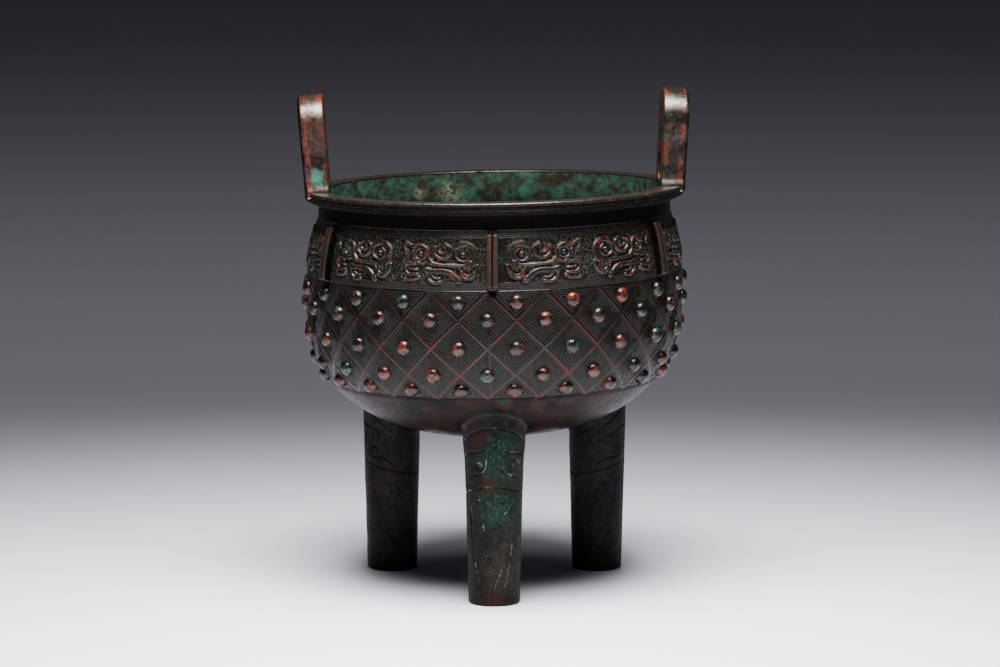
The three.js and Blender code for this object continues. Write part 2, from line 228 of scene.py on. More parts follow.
NOISE_CELLS = 32
COLUMNS = LOZENGES_ROUND * 2
COLUMN_ANGLE = 2 * math.pi / COLUMNS
THIRD = 2 * math.pi / LEGS
BOWL_FOOT = BELLY_HEIGHT - BOWL_DEPTH
NECK_RADIUS = BELLY_RADIUS - NECK_INSET
NECK_FOOT = BELLY_HEIGHT + SHOULDER_RISE
NECK_TOP = NECK_FOOT + NECK_RISE
LIP_FOOT = NECK_TOP + LIP_STEP_DEPTH
RIM_HEIGHT = LIP_FOOT + LIP_DEPTH
RIM_RADIUS = NECK_RADIUS + LIP_OVERHANG
MOUTH_RADIUS = NECK_RADIUS - WALL
FIELD_FOOT = BAND_DEPTH + ROW_PITCH * (BOSS_ROWS - 1)
LEG_FRONT = -LEG_CIRCLE - LEG_TOP_RADIUS
MOUTH_BACK = MOUTH_RADIUS * 0.95

# Soft patches on the front leg, on the inside and at the left handle's foot: (place, radius)
LEG_GREEN = [((3, LEG_FRONT, 66), 17), ((2, LEG_FRONT, 44), 14)]
LEG_RED = [((-9, LEG_FRONT + 2, 75), 8), ((-3, LEG_FRONT, 54), 5), ((0, LEG_FRONT, 1), 8)]
LEG_DUSTY = [((2, LEG_FRONT, 18), 17)]
LEG_PALE_LINES = [((0, LEG_FRONT, 40), 60)]
INSIDE_BOTTOM = [((0, 0, BOWL_FOOT), BOWL_FOOT)]
INSIDE_PALE = [((-20, MOUTH_BACK, 168), 9), ((-34, MOUTH_BACK - 6, 170), 5)]
HANDLE_GREEN = [((-RIM_RADIUS + 6, -HANDLE_SPAN / 2, RIM_HEIGHT + 5), 6)]


# Placing on the bowl

def walk_profile():
    """Distance, radius, height and outward normal at points down the outside of the bowl."""
    rise = np.linspace(SHOULDER_RISE, 0, PROFILE_STEPS, endpoint=False)
    inset = NECK_INSET * (rise / SHOULDER_RISE) ** SHOULDER_POWER
    shoulder = np.column_stack([BELLY_RADIUS - inset, BELLY_HEIGHT + rise])
    turn = np.linspace(0, math.pi / 2, PROFILE_STEPS + 1)
    power = 2 / BOWL_SQUARENESS
    radius = BELLY_RADIUS * np.clip(np.cos(turn), 0, 1) ** power
    belly = np.column_stack([radius, BELLY_HEIGHT - BOWL_DEPTH * np.sin(turn) ** power])
    points = np.concatenate([shoulder, belly])
    steps = np.linalg.norm(np.diff(points, axis=0), axis=1)
    along = np.gradient(points, axis=0)
    along /= np.linalg.norm(along, axis=1, keepdims=True)
    walked = np.concatenate([[0], np.cumsum(steps)])
    return walked, np.column_stack([points, -along[:, 1], along[:, 0]])


WALKED, PROFILE = walk_profile()
PROFILE_LENGTH = WALKED[-1]


def around(angle, radius, height):
    """Points at an angle, a radius and a height round the vessel's axis."""
    angle, radius, height = np.broadcast_arrays(angle, radius, height)
    return np.stack([radius * np.sin(angle), -radius * np.cos(angle), height], axis=-1)


def wall_at(distance, relief=0):
    """Radius and height of the wall's outside, lifted from it by a relief."""
    radius, height, out, up = (np.interp(distance, WALKED, column) for column in PROFILE.T)
    return radius + out * relief, height + up * relief


def wall_section(distance, relief):
    """A section along the wall, for a turned surface that closes at the bowl's middle."""
    radius, height = wall_at(distance, relief)
    return np.column_stack([np.maximum(radius, 0), height])


def on_bowl(angle, distance, relief=0):
    """Points on the wall's outside, lifted from it by a relief."""
    return around(angle, *wall_at(distance, relief))


def across_from_nearest(angle, turn, count):
    """Millimetres round the belly from the nearest of some evenly spaced places."""
    gap = 2 * math.pi / count
    return ((angle - turn + gap / 2) % gap - gap / 2) * BELLY_RADIUS


def skewed(points):
    """The bowl rises a little to the right, and its sides stay upright."""
    x, y, z = np.moveaxis(points, -1, 0)
    return np.stack([x, y, z + x * math.tan(BOWL_TILT)], axis=-1)


def turned_about_axis(points, angle):
    x, y, z = np.moveaxis(points, -1, 0)
    cos, sin = math.cos(angle), math.sin(angle)
    return np.stack([x * cos - y * sin, x * sin + y * cos, z], axis=-1)


# Seeded noise and relief drawn with strokes

def noise(points, size, seed):
    """Smooth noise from 0 to 1 with features of a size in millimetres."""
    values = np.random.default_rng(seed).random((NOISE_CELLS,) * 3)
    place = points / size
    cell = np.floor(place).astype(int)
    share = place - cell
    share = share * share * (3 - 2 * share)
    total = np.zeros(points.shape[:-1])
    for corner in np.ndindex(2, 2, 2):
        weight = np.prod(np.where(corner, share, 1 - share), axis=-1)
        index = (cell + corner) % NOISE_CELLS
        total += weight * values[index[..., 0], index[..., 1], index[..., 2]]
    return total


def smooth_step(low, high, value):
    share = np.clip((value - low) / (high - low), 0, 1)
    return share * share * (3 - 2 * share)


def curve_through(points, steps=6):
    """A Catmull-Rom curve through a stroke's points."""
    points = np.array(points, dtype=float)
    ends = np.concatenate([[2 * points[0] - points[1]], points, [2 * points[-1] - points[-2]]])
    curve = []
    for a, b, c, d in zip(ends[:-3], ends[1:-2], ends[2:-1], ends[3:]):
        for t in np.arange(steps) / steps:
            bend = (2 * a - 5 * b + 4 * c - d) * t ** 2 + (3 * b - 3 * c + d - a) * t ** 3
            curve.append(b + ((c - a) * t + bend) / 2)
    curve.append(points[-1])
    return np.array(curve)


def ring_path(centre, radius, turns=1, shrink=0, steps=20):
    """A ring about a centre, or a spiral that shrinks inwards."""
    turn = np.linspace(0, turns, int(steps * turns) + 1)
    reach = radius - shrink * turn
    angle = 2 * math.pi * turn
    return np.column_stack([centre[0] + reach * np.cos(angle), centre[1] + reach * np.sin(angle)])


def distance_to(path, x, y, reach):
    """Distance from each place to a path, and no more than the reach."""
    nearest = np.full(x.shape, float(reach))
    for (ax, ay), (bx, by) in zip(path[:-1], path[1:]):
        near = (x > min(ax, bx) - reach) & (x < max(ax, bx) + reach)
        near &= (y > min(ay, by) - reach) & (y < max(ay, by) + reach)
        if not near.any():
            continue
        dx, dy = bx - ax, by - ay
        px, py = x[near] - ax, y[near] - ay
        share = np.clip((px * dx + py * dy) / (dx * dx + dy * dy + 1e-9), 0, 1)
        nearest[near] = np.minimum(nearest[near], np.hypot(px - share * dx, py - share * dy))
    return nearest


def rounded_over(distance, half_width):
    """A rounded ridge: 1 at its crest, 0 at half its width from it."""
    return np.sqrt(np.clip(1 - (distance / half_width) ** 2, 0, 1))


def ridge(away, width):
    """A soft ridge or groove: 1 in its middle, and next to nothing at twice its width."""
    return np.exp(-(away / width) ** 2)


def rub_over(share, crest=1):
    """How rubbed a relief is, from its grooves to its crests."""
    return GROOVE + (crest - GROOVE) * share


def corner(before, here, after, steps=5):
    """Points of the curve that rounds a corner off."""
    return [(1 - t) ** 2 * before + 2 * t * (1 - t) * here + t ** 2 * after for t in np.linspace(0, 1, steps)]


# Meshes

def make_piece(name, points, faces, material, rub_and_shade=NEUTRAL, **layers):
    """A mesh piece of the vessel that rides on it and stands for its node."""
    mesh = bpy.data.meshes.new(name)
    mesh.from_pydata((points.reshape(-1, 3) * MM).tolist(), [], faces)
    mesh.shade_smooth()
    for layer, values in {"rub_and_shade": rub_and_shade, **layers}.items():
        spread = np.broadcast_to(values, points.shape[:-1]).astype(np.float32)
        mesh.attributes.new(layer, "FLOAT", "POINT").data.foreach_set("value", spread.ravel())
    mesh.materials.append(material)
    piece = bpy.data.objects.new(name, mesh)
    bpy.context.scene.collection.objects.link(piece)
    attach(piece, BODY)
    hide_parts(NODE)
    return piece


def grid_faces(rows, columns, closed=False, flip=False, start=0):
    """Faces of a grid whose rows go down and whose columns go right, seen from outside."""
    index = start + np.arange(rows * columns).reshape(rows, columns)
    if closed:
        index = np.concatenate([index, index[:, :1]], axis=1)
    corners = [index[:-1, :-1], index[1:, :-1], index[1:, 1:], index[:-1, 1:]]
    if flip:
        corners.reverse()
    return np.stack(corners, axis=-1).reshape(-1, 4).tolist()


def piece_name(stem, turn):
    return f"{stem}_{round(math.degrees(turn))}"


# Lozenge field

def rect_spiral(width, height):
    """A square-cornered spiral of raised line that fills a rectangle, one line to a unit."""
    left, right, foot, top = 0.5, width - 0.5, 0.5, height - 0.5
    path = [(left, foot)]
    while right - left > 0.5:
        path += [(left, top), (right, top), (right, foot)]
        left += 1
        path.append((left, foot))
        top -= 1
        right -= 1
        foot += 1
    path.append((left, top))
    return np.array(path)


def lozenge_tile():
    """Relief from 0 to 1 over one lozenge, four spirals in a frame, and the depth in from its sides."""
    count = LINES_PER_LOZENGE * POINTS_PER_LINE
    u, v = np.meshgrid(*[np.arange(count) / POINTS_PER_LINE] * 2, indexing="ij")
    edge = np.minimum(np.minimum(u, LINES_PER_LOZENGE - u), np.minimum(v, LINES_PER_LOZENGE - v))
    framed = abs(edge - 1.5) < LINE_HALF_WIDTH
    lines = np.zeros(u.shape, dtype=bool)
    x, y = u - LINES_PER_LOZENGE / 2, v - LINES_PER_LOZENGE / 2
    short, long = SPIRAL_SIDES
    core = np.maximum(abs(x), abs(y)) < (long - short) / 2
    for _ in range(4):
        path = rect_spiral(short, long) - (short + long) / 2
        lines |= distance_to(path, x, y, 1) < LINE_HALF_WIDTH
        x, y = y, -x
    return (framed | (lines & ~core)).astype(float), edge


def field_relief(column, row, last_row):
    """Relief from 0 to 1 and rub of the field, at grid places counted across and down."""
    tile, edges = lozenge_tile()
    count = len(tile)
    i, j = (column + row) // 2, (column - row) // 2
    raised = tile[i % count, j % count]
    edge = edges[i % count, j % count]
    centre_row = (i // count - j // count) * count
    lines_down = LINES_PER_LOZENGE / math.sqrt(2) / count
    for cut_row in (0, last_row):
        nested = np.minimum(edge, abs(row - cut_row) * lines_down)
        in_half = (centre_row == cut_row) & (edge > STRIP_HALF_WIDTH)
        raised = np.where(in_half, (nested % 1 > NESTED_GAP) & (nested < NESTED_LINES), raised)
    cut = (row == 0) | (row == last_row)
    strip = edge < STRIP_HALF_WIDTH
    rub_and_shade = np.where(strip, STRIP, rub_over(raised, LINE_CREST))
    return np.where(cut | strip, 1, raised), np.where(cut, GROOVE, rub_and_shade)


def hollow_under_flange(angle, distance):
    """How much of the small hollow under a flange's foot lies at a place, from 0 to 1."""
    across = across_from_nearest(angle, FLANGE_TURN, FLANGES)
    off = np.hypot(across, distance - BAND_DEPTH - HOLLOW_DROP) / HOLLOW_RADIUS
    return np.exp(-off ** 4)


def mould_seam(angle, distance):
    """A raised seam of the mould over each leg, below the middle of the field, from 0 to 1."""
    start, full = (BAND_DEPTH + ROW_PITCH * rows for rows in SEAM_START_ROWS)
    return ridge(across_from_nearest(angle, SEAM_TURN, LEGS), SEAM_WIDTH) * smooth_step(start, full, distance)


def diagonal_faces(rows, across):
    """Faces of a grid whose odd rows lie half a step to the right, with triangles at top and foot."""
    index = np.arange(rows * across).reshape(rows, across)
    faces = []
    for r in range(rows):
        beside = slice(r % 2, r % 2 + across - 1)
        corners = [index[r, :-1], index[r, 1:]]
        if r < rows - 1:
            corners.insert(1, index[r + 1, beside])
        if r > 0:
            corners.append(index[r - 1, beside])
        faces += np.stack(corners, axis=-1).tolist()
    return faces


def field_sector(turn, material):
    """A third of the field. Its grid runs along the lozenges' sides, so no line is cut across."""
    cells = LINES_PER_LOZENGE * POINTS_PER_LINE
    rows = cells * (BOSS_ROWS - 1) + 1
    across = cells * COLUMNS // LEGS // 2 + 1
    row = np.repeat(np.arange(rows)[:, None], across, axis=1)
    column = row % 2 + 2 * np.arange(across)[None, :]
    raised, rub_and_shade = field_relief(column, row, rows - 1)
    angle = LATTICE_TURN + turn + column / cells * COLUMN_ANGLE
    distance = BAND_DEPTH + row / cells * ROW_PITCH
    relief = (raised - 1) * LATTICE_RELIEF
    inland = (row > 0) & (row < rows - 1)
    worn = noise(on_bowl(angle, distance), size=9, seed=3)
    relief = relief - WORN_DEPTH * (1 - worn) * inland
    seam = mould_seam(angle, distance) * inland
    relief = np.maximum(relief, seam * SEAM_RELIEF - LATTICE_RELIEF * (1 - seam))
    hollow = hollow_under_flange(angle, distance)
    relief = relief * (1 - hollow) - HOLLOW_DEPTH * hollow
    # Painted shade: in the small hollow under each flange the value drops to nothing, which colours it black.
    rub_and_shade = np.maximum(rub_and_shade, seam * SEAM_RUB) * (1 - hollow)
    points = skewed(on_bowl(angle, distance, relief))
    return make_piece(piece_name("lozenge_field", turn), points, diagonal_faces(rows, across), material, rub_and_shade)


def boss_places():
    """Column and row of each boss, counted in half lozenges."""
    shift = (BOSS_RADIUS + LATTICE_WIDTH / 2 + BOSS_CLEARANCE) / ROW_PITCH
    for row in range(BOSS_ROWS):
        cut = {0: shift, BOSS_ROWS - 1: -shift}.get(row, 0)
        for column in range((row + 1) % 2, COLUMNS, 2):
            yield column, row + cut


def bosses(material):
    """Domed bosses, each a little different, set on the field."""
    random = np.random.default_rng(11)
    turn = np.linspace(0, 2 * math.pi, BOSS_SEGMENTS, endpoint=False)
    lift = np.linspace(0, 1, BOSS_RINGS + 1)[:-1]
    points, faces, rub_and_shade, tint = [], [], [], []
    for column, row in boss_places():
        size = BOSS_RADIUS * BOSS_SPREAD * random.uniform(*BOSS_SIZES)
        height = BOSS_HEIGHT * random.uniform(*BOSS_HEIGHTS)
        reach = size * np.cos(lift * math.pi / 2) ** BOSS_FULLNESS
        rise = height * np.sin(lift * math.pi / 2) - LATTICE_RELIEF
        reach = np.concatenate([[size * BOSS_SKIRT], reach, [0]])
        rise = np.concatenate([[-LATTICE_RELIEF - BOSS_SINK], rise, [height - LATTICE_RELIEF]])
        distance = BAND_DEPTH + row * ROW_PITCH
        angle = LATTICE_TURN + column * COLUMN_ANGLE
        across = reach[:, None] * np.sin(turn) / wall_at(distance)[0]
        down = reach[:, None] * np.cos(turn)
        dome = on_bowl(angle + across, distance - down, rise[:, None] + 0 * down)
        start = len(points) * down.size
        points.append(dome)
        # The value drops from the top down to the foot, so each boss is darker towards its foot.
        crest = smooth_step(-0.3, 0.5, (rise + LATTICE_RELIEF) / height)
        rub_and_shade.append(np.broadcast_to(rub_over(crest)[:, None], down.shape))
        tint.append(np.full(down.shape, random.random()))
        faces += grid_faces(*down.shape, closed=True, flip=True, start=start)
    points = skewed(np.array(points))
    return make_piece("bosses", points, faces, material, np.array(rub_and_shade), tint=np.array(tint))


# Dragon band

DRAWN_HEIGHT = 18
DRAWN_HALF_LENGTH = 17.4
DRAWN_MARGIN = 3
DRAGON_HEIGHT = BAND_DEPTH - BAND_TOP_MARGIN - BAND_FOOT_MARGIN
DRAGON_SCALE = DRAGON_HEIGHT / DRAWN_HEIGHT
DRAGON_MIDDLE = BAND_TOP_MARGIN + DRAGON_HEIGHT / 2
DRAGON_RADIUS = wall_at(DRAGON_MIDDLE)[0]

# Strokes of a dragon that faces left: width and points, in millimetres from its middle
DRAGON_STROKES = {
    "snout": (2, [(-12.7, 6.7), (-14.5, 7.5), (-17, 8.6), (-16.9, 6.6), (-15.6, 4.1)]),
    "neck": (2.6, [(-12, 6.6), (-9.6, 7), (-7, 6.2), (-5.7, 4.4), (-5.2, 1.7), (-3.5, -0.3)]),
    "back": (1.7, [(-5, 1), (-3.5, -0.3), (1.2, -1.2), (10.4, -1.4), (13.9, 0)]),
    "crest": (1.9, [(-2.3, 6.4), (-2.4, 3.6), (0.9, 1.4), (4.1, 2.9), (4.8, 6), (2.3, 7.8)]),
    "crest_inside": (1.2, [(-0.6, 7), (-0.7, 4.9), (0.9, 3.8), (2.4, 4.9), (1.7, 6.7)]),
    "tail_inside": (1.1, [(6.8, 5), (7.6, 1.8), (10.4, 0.3), (13, 1.4), (13.4, 3.6), (11.8, 5.4)]),
    "cheek": (1.2, [(-12.2, 4.6), (-11.9, 1.6), (-8.7, -0.4), (-5.8, 0.2)]),
    "jaw": (1.8, [(-11, -0.9), (-14.9, -1), (-15.6, -3), (-13.9, -5.2), (-9.6, -5.5)]),
    "tongue": (1.2, [(-13.6, -3), (-9.8, -3.4)]),
    "lip": (1.4, [(-16, -7.9), (-11.6, -7.7), (-8.7, -6.5)]),
    "hind_leg": (1.6, [(9.3, -3.1), (9.6, -6.4)]),
    "thigh": (1.4, [(9.8, -4.2), (11, -6.6), (13.6, -6.8), (16.2, -4.6), (17, -1.4)]),
    "foreleg": (1.7, [(-5.2, -5.5), (-4.6, -7.4), (-2.3, -8.8), (0.8, -8.6)]),
    "foreleg_inside": (0.9, [(-2.6, -5.9), (-1.6, -7), (0.6, -7)]),
}
GROOVED_STROKES = {
    "tail": (2.9, [(12.8, -2), (15.3, -0.2), (16.2, 2.4), (15.5, 5.2), (12.9, 7.3), (9.6, 7.8), (6.9, 6.6)]),
    "belly": (2.5, [(-5.8, -3.4), (-2.9, -3.9), (1.2, -3.8), (4.6, -4.4), (7.2, -6.4), (9, -8.4)]),
}
DRAGON_RINGS = {
    "eye": (1.3, (-8.7, 3.4), 2.5),
    "chin_curl": (0.9, (-16.2, -6.2), 0.9),
    "haunch_curl": (1.1, (12.8, -3.7), 2),
}
DRAGON_KNOBS = {
    "pupil": ((-8.7, 3.4), 1.4),
    "tail_knob": ((10.5, 3), 1.4),
    "foot": ((9.2, -8.2), 1.4),
    "haunch": ((12.8, -3.7), 0.9),
}


def dragon_height(x, y):
    """Height from 0 to 1 of a dragon's forms, and how near they are, in its own drawing."""
    height = np.zeros(x.shape)
    near = np.zeros(x.shape)
    drawn = [(width, curve_through(points), 0) for width, points in DRAGON_STROKES.values()]
    drawn += [(width, curve_through(points), DRAGON_GROOVE) for width, points in GROOVED_STROKES.values()]
    drawn += [(width, ring_path(centre, radius), 0) for width, centre, radius in DRAGON_RINGS.values()]
    drawn += [(2 * radius, np.array([centre, centre]), 0) for centre, radius in DRAGON_KNOBS.values()]
    for width, path, groove in drawn:
        away = distance_to(path, x, y, width / 2 + DRAGON_MOAT)
        crest = rounded_over(away, width / 2) * (1 - groove * ridge(away, DRAGON_GROOVE_WIDTH))
        height = np.maximum(height, crest)
        near = np.maximum(near, smooth_step(width / 2 + DRAGON_MOAT, width / 2, away))
    return height, near


def dragon_places():
    """Angle and facing of the dragons of one third: tails towards the flange over a leg."""
    panel = 2 * math.pi / FLANGES
    half_length = DRAWN_HALF_LENGTH * DRAGON_SCALE
    inset = (half_length + DRAGON_GAP + FLANGE_WIDTH / 2) / DRAGON_RADIUS
    for i in range(FLANGES // LEGS):
        start = FLANGE_TURN + i * panel
        facing = 1 if i % 2 == 0 else -1
        yield start + inset, facing
        yield start + panel - inset, facing


def ground_relief(across, distance):
    """Small squared spirals that fill the ground between the dragons."""
    u, v = across / GROUND_CELL, distance / GROUND_CELL
    cell = np.floor(u) + 7 * np.floor(v)
    x, y = u % 1 - 0.5, v % 1 - 0.5
    reach = np.maximum(abs(x), abs(y))
    turn = np.arctan2(y, x) / (2 * math.pi)
    return 0.5 + 0.5 * np.cos(2 * math.pi * (reach * 3.2 + turn * np.where(cell % 2, 1, -1)))


def band_lines(depth_in):
    """Fine raised lines that run round the band's edges, from its edge inwards."""
    inside = depth_in < (BAND_LINES - 0.4) * BAND_LINE_PITCH
    wave = 0.5 + 0.5 * np.cos(2 * math.pi * depth_in / BAND_LINE_PITCH)
    return np.where(inside, wave, 0), inside


def band_distances():
    """Rows down the band: close and in step with its lines at both edges."""
    lines = np.linspace(0, BAND_LINES * BAND_LINE_PITCH, BAND_LINES * ROWS_PER_LINE + 1)
    middle = np.linspace(lines[-1], BAND_DEPTH - lines[-1], BAND_ROWS + 1)
    return np.concatenate([lines, middle[1:-1], BAND_DEPTH - lines[::-1]])


def dragons_on_band(angle, distance):
    """Height from 0 to 1 of the dragons of one third, and of the moats about them."""
    dragon, moat = np.zeros(angle.shape), np.zeros(angle.shape)
    for centre, facing in dragon_places():
        x = -facing * (angle - centre) * DRAGON_RADIUS / DRAGON_SCALE
        y = (DRAGON_MIDDLE - distance) / DRAGON_SCALE
        close = (abs(x) < DRAWN_HALF_LENGTH + DRAWN_MARGIN) & (abs(y) < DRAWN_HEIGHT / 2 + DRAWN_MARGIN)
        height, near = dragon_height(x[close], y[close])
        dragon[close] = np.maximum(dragon[close], height)
        moat[close] = np.maximum(moat[close], near)
    return dragon, moat


def band_sector(turn, material):
    """A third of the dragon band. Its sides lie under the flanges over two legs."""
    angle = FLANGE_TURN + np.linspace(0, THIRD, BAND_COLUMNS + 1)[None, :]
    angle, distance = np.broadcast_arrays(angle, band_distances()[:, None])
    dragon, moat = dragons_on_band(angle, distance)
    ground = ground_relief(angle * DRAGON_RADIUS, distance)
    ground *= 0.4 + 0.6 * noise(on_bowl(angle, distance), size=1.3, seed=21)
    top, at_top = band_lines(distance)
    foot, at_foot = band_lines(BAND_DEPTH - distance)
    on_lines = at_top | at_foot
    lines = np.where(at_top, top, foot)
    relief = np.where(on_lines, (lines - 1) * BAND_LINE_RELIEF, (ground - 1) * GROUND_RELIEF)
    relief = relief * (1 - moat) - GROUND_RELIEF * moat
    relief = np.where(dragon > 0, np.maximum(relief, dragon * DRAGON_RELIEF - GROUND_RELIEF), relief)
    at_edge = (distance == 0) | (distance == BAND_DEPTH)
    relief = np.where(at_edge, 0, relief)
    hollow = hollow_under_flange(angle, distance)
    relief = relief * (1 - hollow) - HOLLOW_DEPTH * hollow
    rub_and_shade = rub_over(np.where(on_lines, lines, 0.7 * ground), LINE_CREST) * (1 - moat)
    # Painted shade: in the small hollow under each flange the value drops to nothing, which colours it black.
    rub_and_shade = np.where(at_edge, GROOVE, np.maximum(rub_and_shade, smooth_step(0.3, 0.9, dragon)) * (1 - hollow))
    dust = np.where(on_lines, 0.25, 1) * (1 - smooth_step(0.1, 0.6, dragon))
    points = skewed(on_bowl(angle + turn, distance, relief))
    faces = grid_faces(*angle.shape)
    return make_piece(piece_name("dragon_band", turn), points, faces, material, rub_and_shade, dust=dust)


# Flanges

def flange_section():
    """Across a flange: up its left side, over two ridges with a groove between, and down again."""
    half = FLANGE_WIDTH / 2
    over = np.linspace(-1, 1, FLANGE_COLUMNS)
    groove = FLANGE_GROOVE * ridge(over * half, FLANGE_GROOVE_WIDTH)
    crown = FLANGE_HEIGHT - FLANGE_EDGE * over ** 8 - groove
    side = np.array([(-half, -0.6), (-half, 0.4), (-half, FLANGE_HEIGHT / 2)])
    other = side[::-1] * [-1, 1]
    return np.concatenate([side, np.column_stack([over * half, crown]), other])


def flanges(material):
    """Ridged flanges with rounded ends and notches up both sides."""
    section = flange_section()
    half = FLANGE_WIDTH / 2
    length = BAND_DEPTH - FLANGE_TOP_GAP - FLANGE_FOOT_GAP
    along = np.linspace(0, length, FLANGE_ROWS)
    pitch = length / FLANGE_NOTCHES
    phase = abs((along % pitch) / pitch - 0.5) * 2
    notched = 1 - smooth_step(0.12, 0.26, phase)
    side = (abs(section[:, 0]) == half) & (section[:, 1] > 0.2) & (section[:, 1] < FLANGE_HEIGHT * 0.7)
    squeeze = 1 - np.outer(notched, side) * FLANGE_NOTCH_DEPTH / half
    ends = np.clip(np.minimum(along, length - along) / FLANGE_END, 0, 1)
    rounding = np.sqrt(1 - (1 - ends) ** 2)
    grooved = ridge(section[:, 0], FLANGE_GROOVE_WIDTH) * (section[:, 1] > 1)
    crest = smooth_step(FLANGE_HEIGHT * 0.6, FLANGE_HEIGHT * 0.95, section[:, 1]) * (1 - 0.6 * grooved)
    rub_and_shade = rub_over(crest) * np.where(squeeze < 0.9, 0.2, 1)
    points, faces = [], []
    for i in range(FLANGES):
        angle = FLANGE_TURN + i * 2 * math.pi / FLANGES
        distance = FLANGE_TOP_GAP + along
        narrowed = 1 - 0.3 * (1 - rounding[:, None])
        across = section[:, 0] * squeeze * narrowed / wall_at(distance)[0][:, None]
        relief = section[:, 1] * rounding[:, None]
        start = i * len(along) * len(section)
        points.append(on_bowl(angle + across, distance[:, None] + 0 * across, relief))
        faces += grid_faces(len(along), len(section), start=start)
    rubs = np.repeat(rub_and_shade[None], FLANGES, axis=0)
    return make_piece("flanges", skewed(np.array(points)), faces, material, rubs)


# Turned surfaces: rim and neck, inside, underside

def turned(name, section, material, rub_and_shade=NEUTRAL):
    """A slightly uneven surface of revolution through a section that runs down its outside."""
    radius, height = np.array(section).T[:, :, None]
    angle = np.linspace(0, 2 * math.pi, RIM_SEGMENTS, endpoint=False)[None, :]
    uneven = WANDER * (noise(around(angle, radius, height), size=14, seed=5) - 1)
    points = around(angle, np.maximum(radius + uneven, 0), height)
    faces = grid_faces(len(radius), RIM_SEGMENTS, closed=True)
    return make_piece(name, skewed(points), faces, material, np.reshape(rub_and_shade, (-1, 1)))


def rounded(corners):
    """A section whose corners (radius, height, rounding) are rounded off."""
    points = []
    for i, (x, y, round_off) in enumerate(corners):
        here = np.array([x, y], dtype=float)
        if round_off == 0 or i in (0, len(corners) - 1):
            points.append(here)
            continue
        towards = [np.array(corners[k][:2]) - here for k in (i - 1, i + 1)]
        before, after = (here + way / np.linalg.norm(way) * round_off for way in towards)
        points += corner(before, here, after)
    return points


def rim_section():
    """Down the rim: from inside the mouth over the lip to the foot of the neck."""
    step = RIM_RADIUS - LIP_STEP_INSET
    return rounded([
        (MOUTH_RADIUS, RIM_HEIGHT - 0.9, 0),
        (MOUTH_RADIUS, RIM_HEIGHT, 0.6),
        (MOUTH_RADIUS + 1.4, RIM_HEIGHT, 0),
        (RIM_RADIUS - 2 * LIP_ROUND, RIM_HEIGHT, 0),
        (RIM_RADIUS, RIM_HEIGHT, LIP_ROUND),
        (RIM_RADIUS, RIM_HEIGHT - 2 * LIP_ROUND, 0),
        (RIM_RADIUS, LIP_FOOT + 1.3, 0.2),
        (RIM_RADIUS - LIP_LINE, LIP_FOOT + 1, 0),
        (RIM_RADIUS, LIP_FOOT + 0.7, 0.2),
        (RIM_RADIUS, LIP_FOOT, 0.3),
        (step, LIP_FOOT, 0.2),
        (step, NECK_TOP, 0.4),
        (NECK_RADIUS, NECK_TOP, 0.8),
        (NECK_RADIUS, NECK_FOOT + 3, 0),
        (NECK_RADIUS, NECK_FOOT, 0),
    ])


def rim(material):
    section = np.array(rim_section())
    to_edge = np.hypot(section[:, 0] - RIM_RADIUS, section[:, 1] - RIM_HEIGHT)
    to_mouth = np.hypot(section[:, 0] - MOUTH_RADIUS, section[:, 1] - RIM_HEIGHT)
    rub_and_shade = np.where(section[:, 1] == RIM_HEIGHT, RIM_TOP, NEUTRAL)
    rub_and_shade = np.where(np.minimum(to_edge, to_mouth) < LIP_ROUND * 1.1, 1, rub_and_shade)
    # Painted shade: the neck under the lip's overhang gets the lowest value, which the rim's material paints
    # black.
    rub_and_shade = np.where(section[:, 1] < NECK_TOP, GROOVE, rub_and_shade)
    return turned("rim_and_neck", section, material, rub_and_shade)


def inside(material):
    """The inner skin, from the mouth down to the middle of the floor."""
    neck = [[MOUTH_RADIUS, RIM_HEIGHT - 0.8], [MOUTH_RADIUS, RIM_HEIGHT - 6], [MOUTH_RADIUS, NECK_FOOT]]
    wall = wall_section(np.linspace(0, PROFILE_LENGTH, WALL_STEPS), -WALL)[1:]
    return turned("inside", np.concatenate([neck, wall])[::-1], material)


def underside(material):
    """The smooth wall below the field, under a groove that ends it."""
    groove = np.array([[0, 0, 0.6], [0.3, -0.15, 0.3], [0.7, -0.5, 0], [1.2, -0.15, 0.3]])
    below = np.linspace(groove[-1, 0] + 1, PROFILE_LENGTH - FIELD_FOOT, 48)
    plain = np.column_stack([below, 0 * below, 0 * below + NEUTRAL])
    down, lift, rub_and_shade = np.concatenate([groove, plain]).T
    return turned("underside", wall_section(FIELD_FOOT + down, lift), material, rub_and_shade)


# Legs

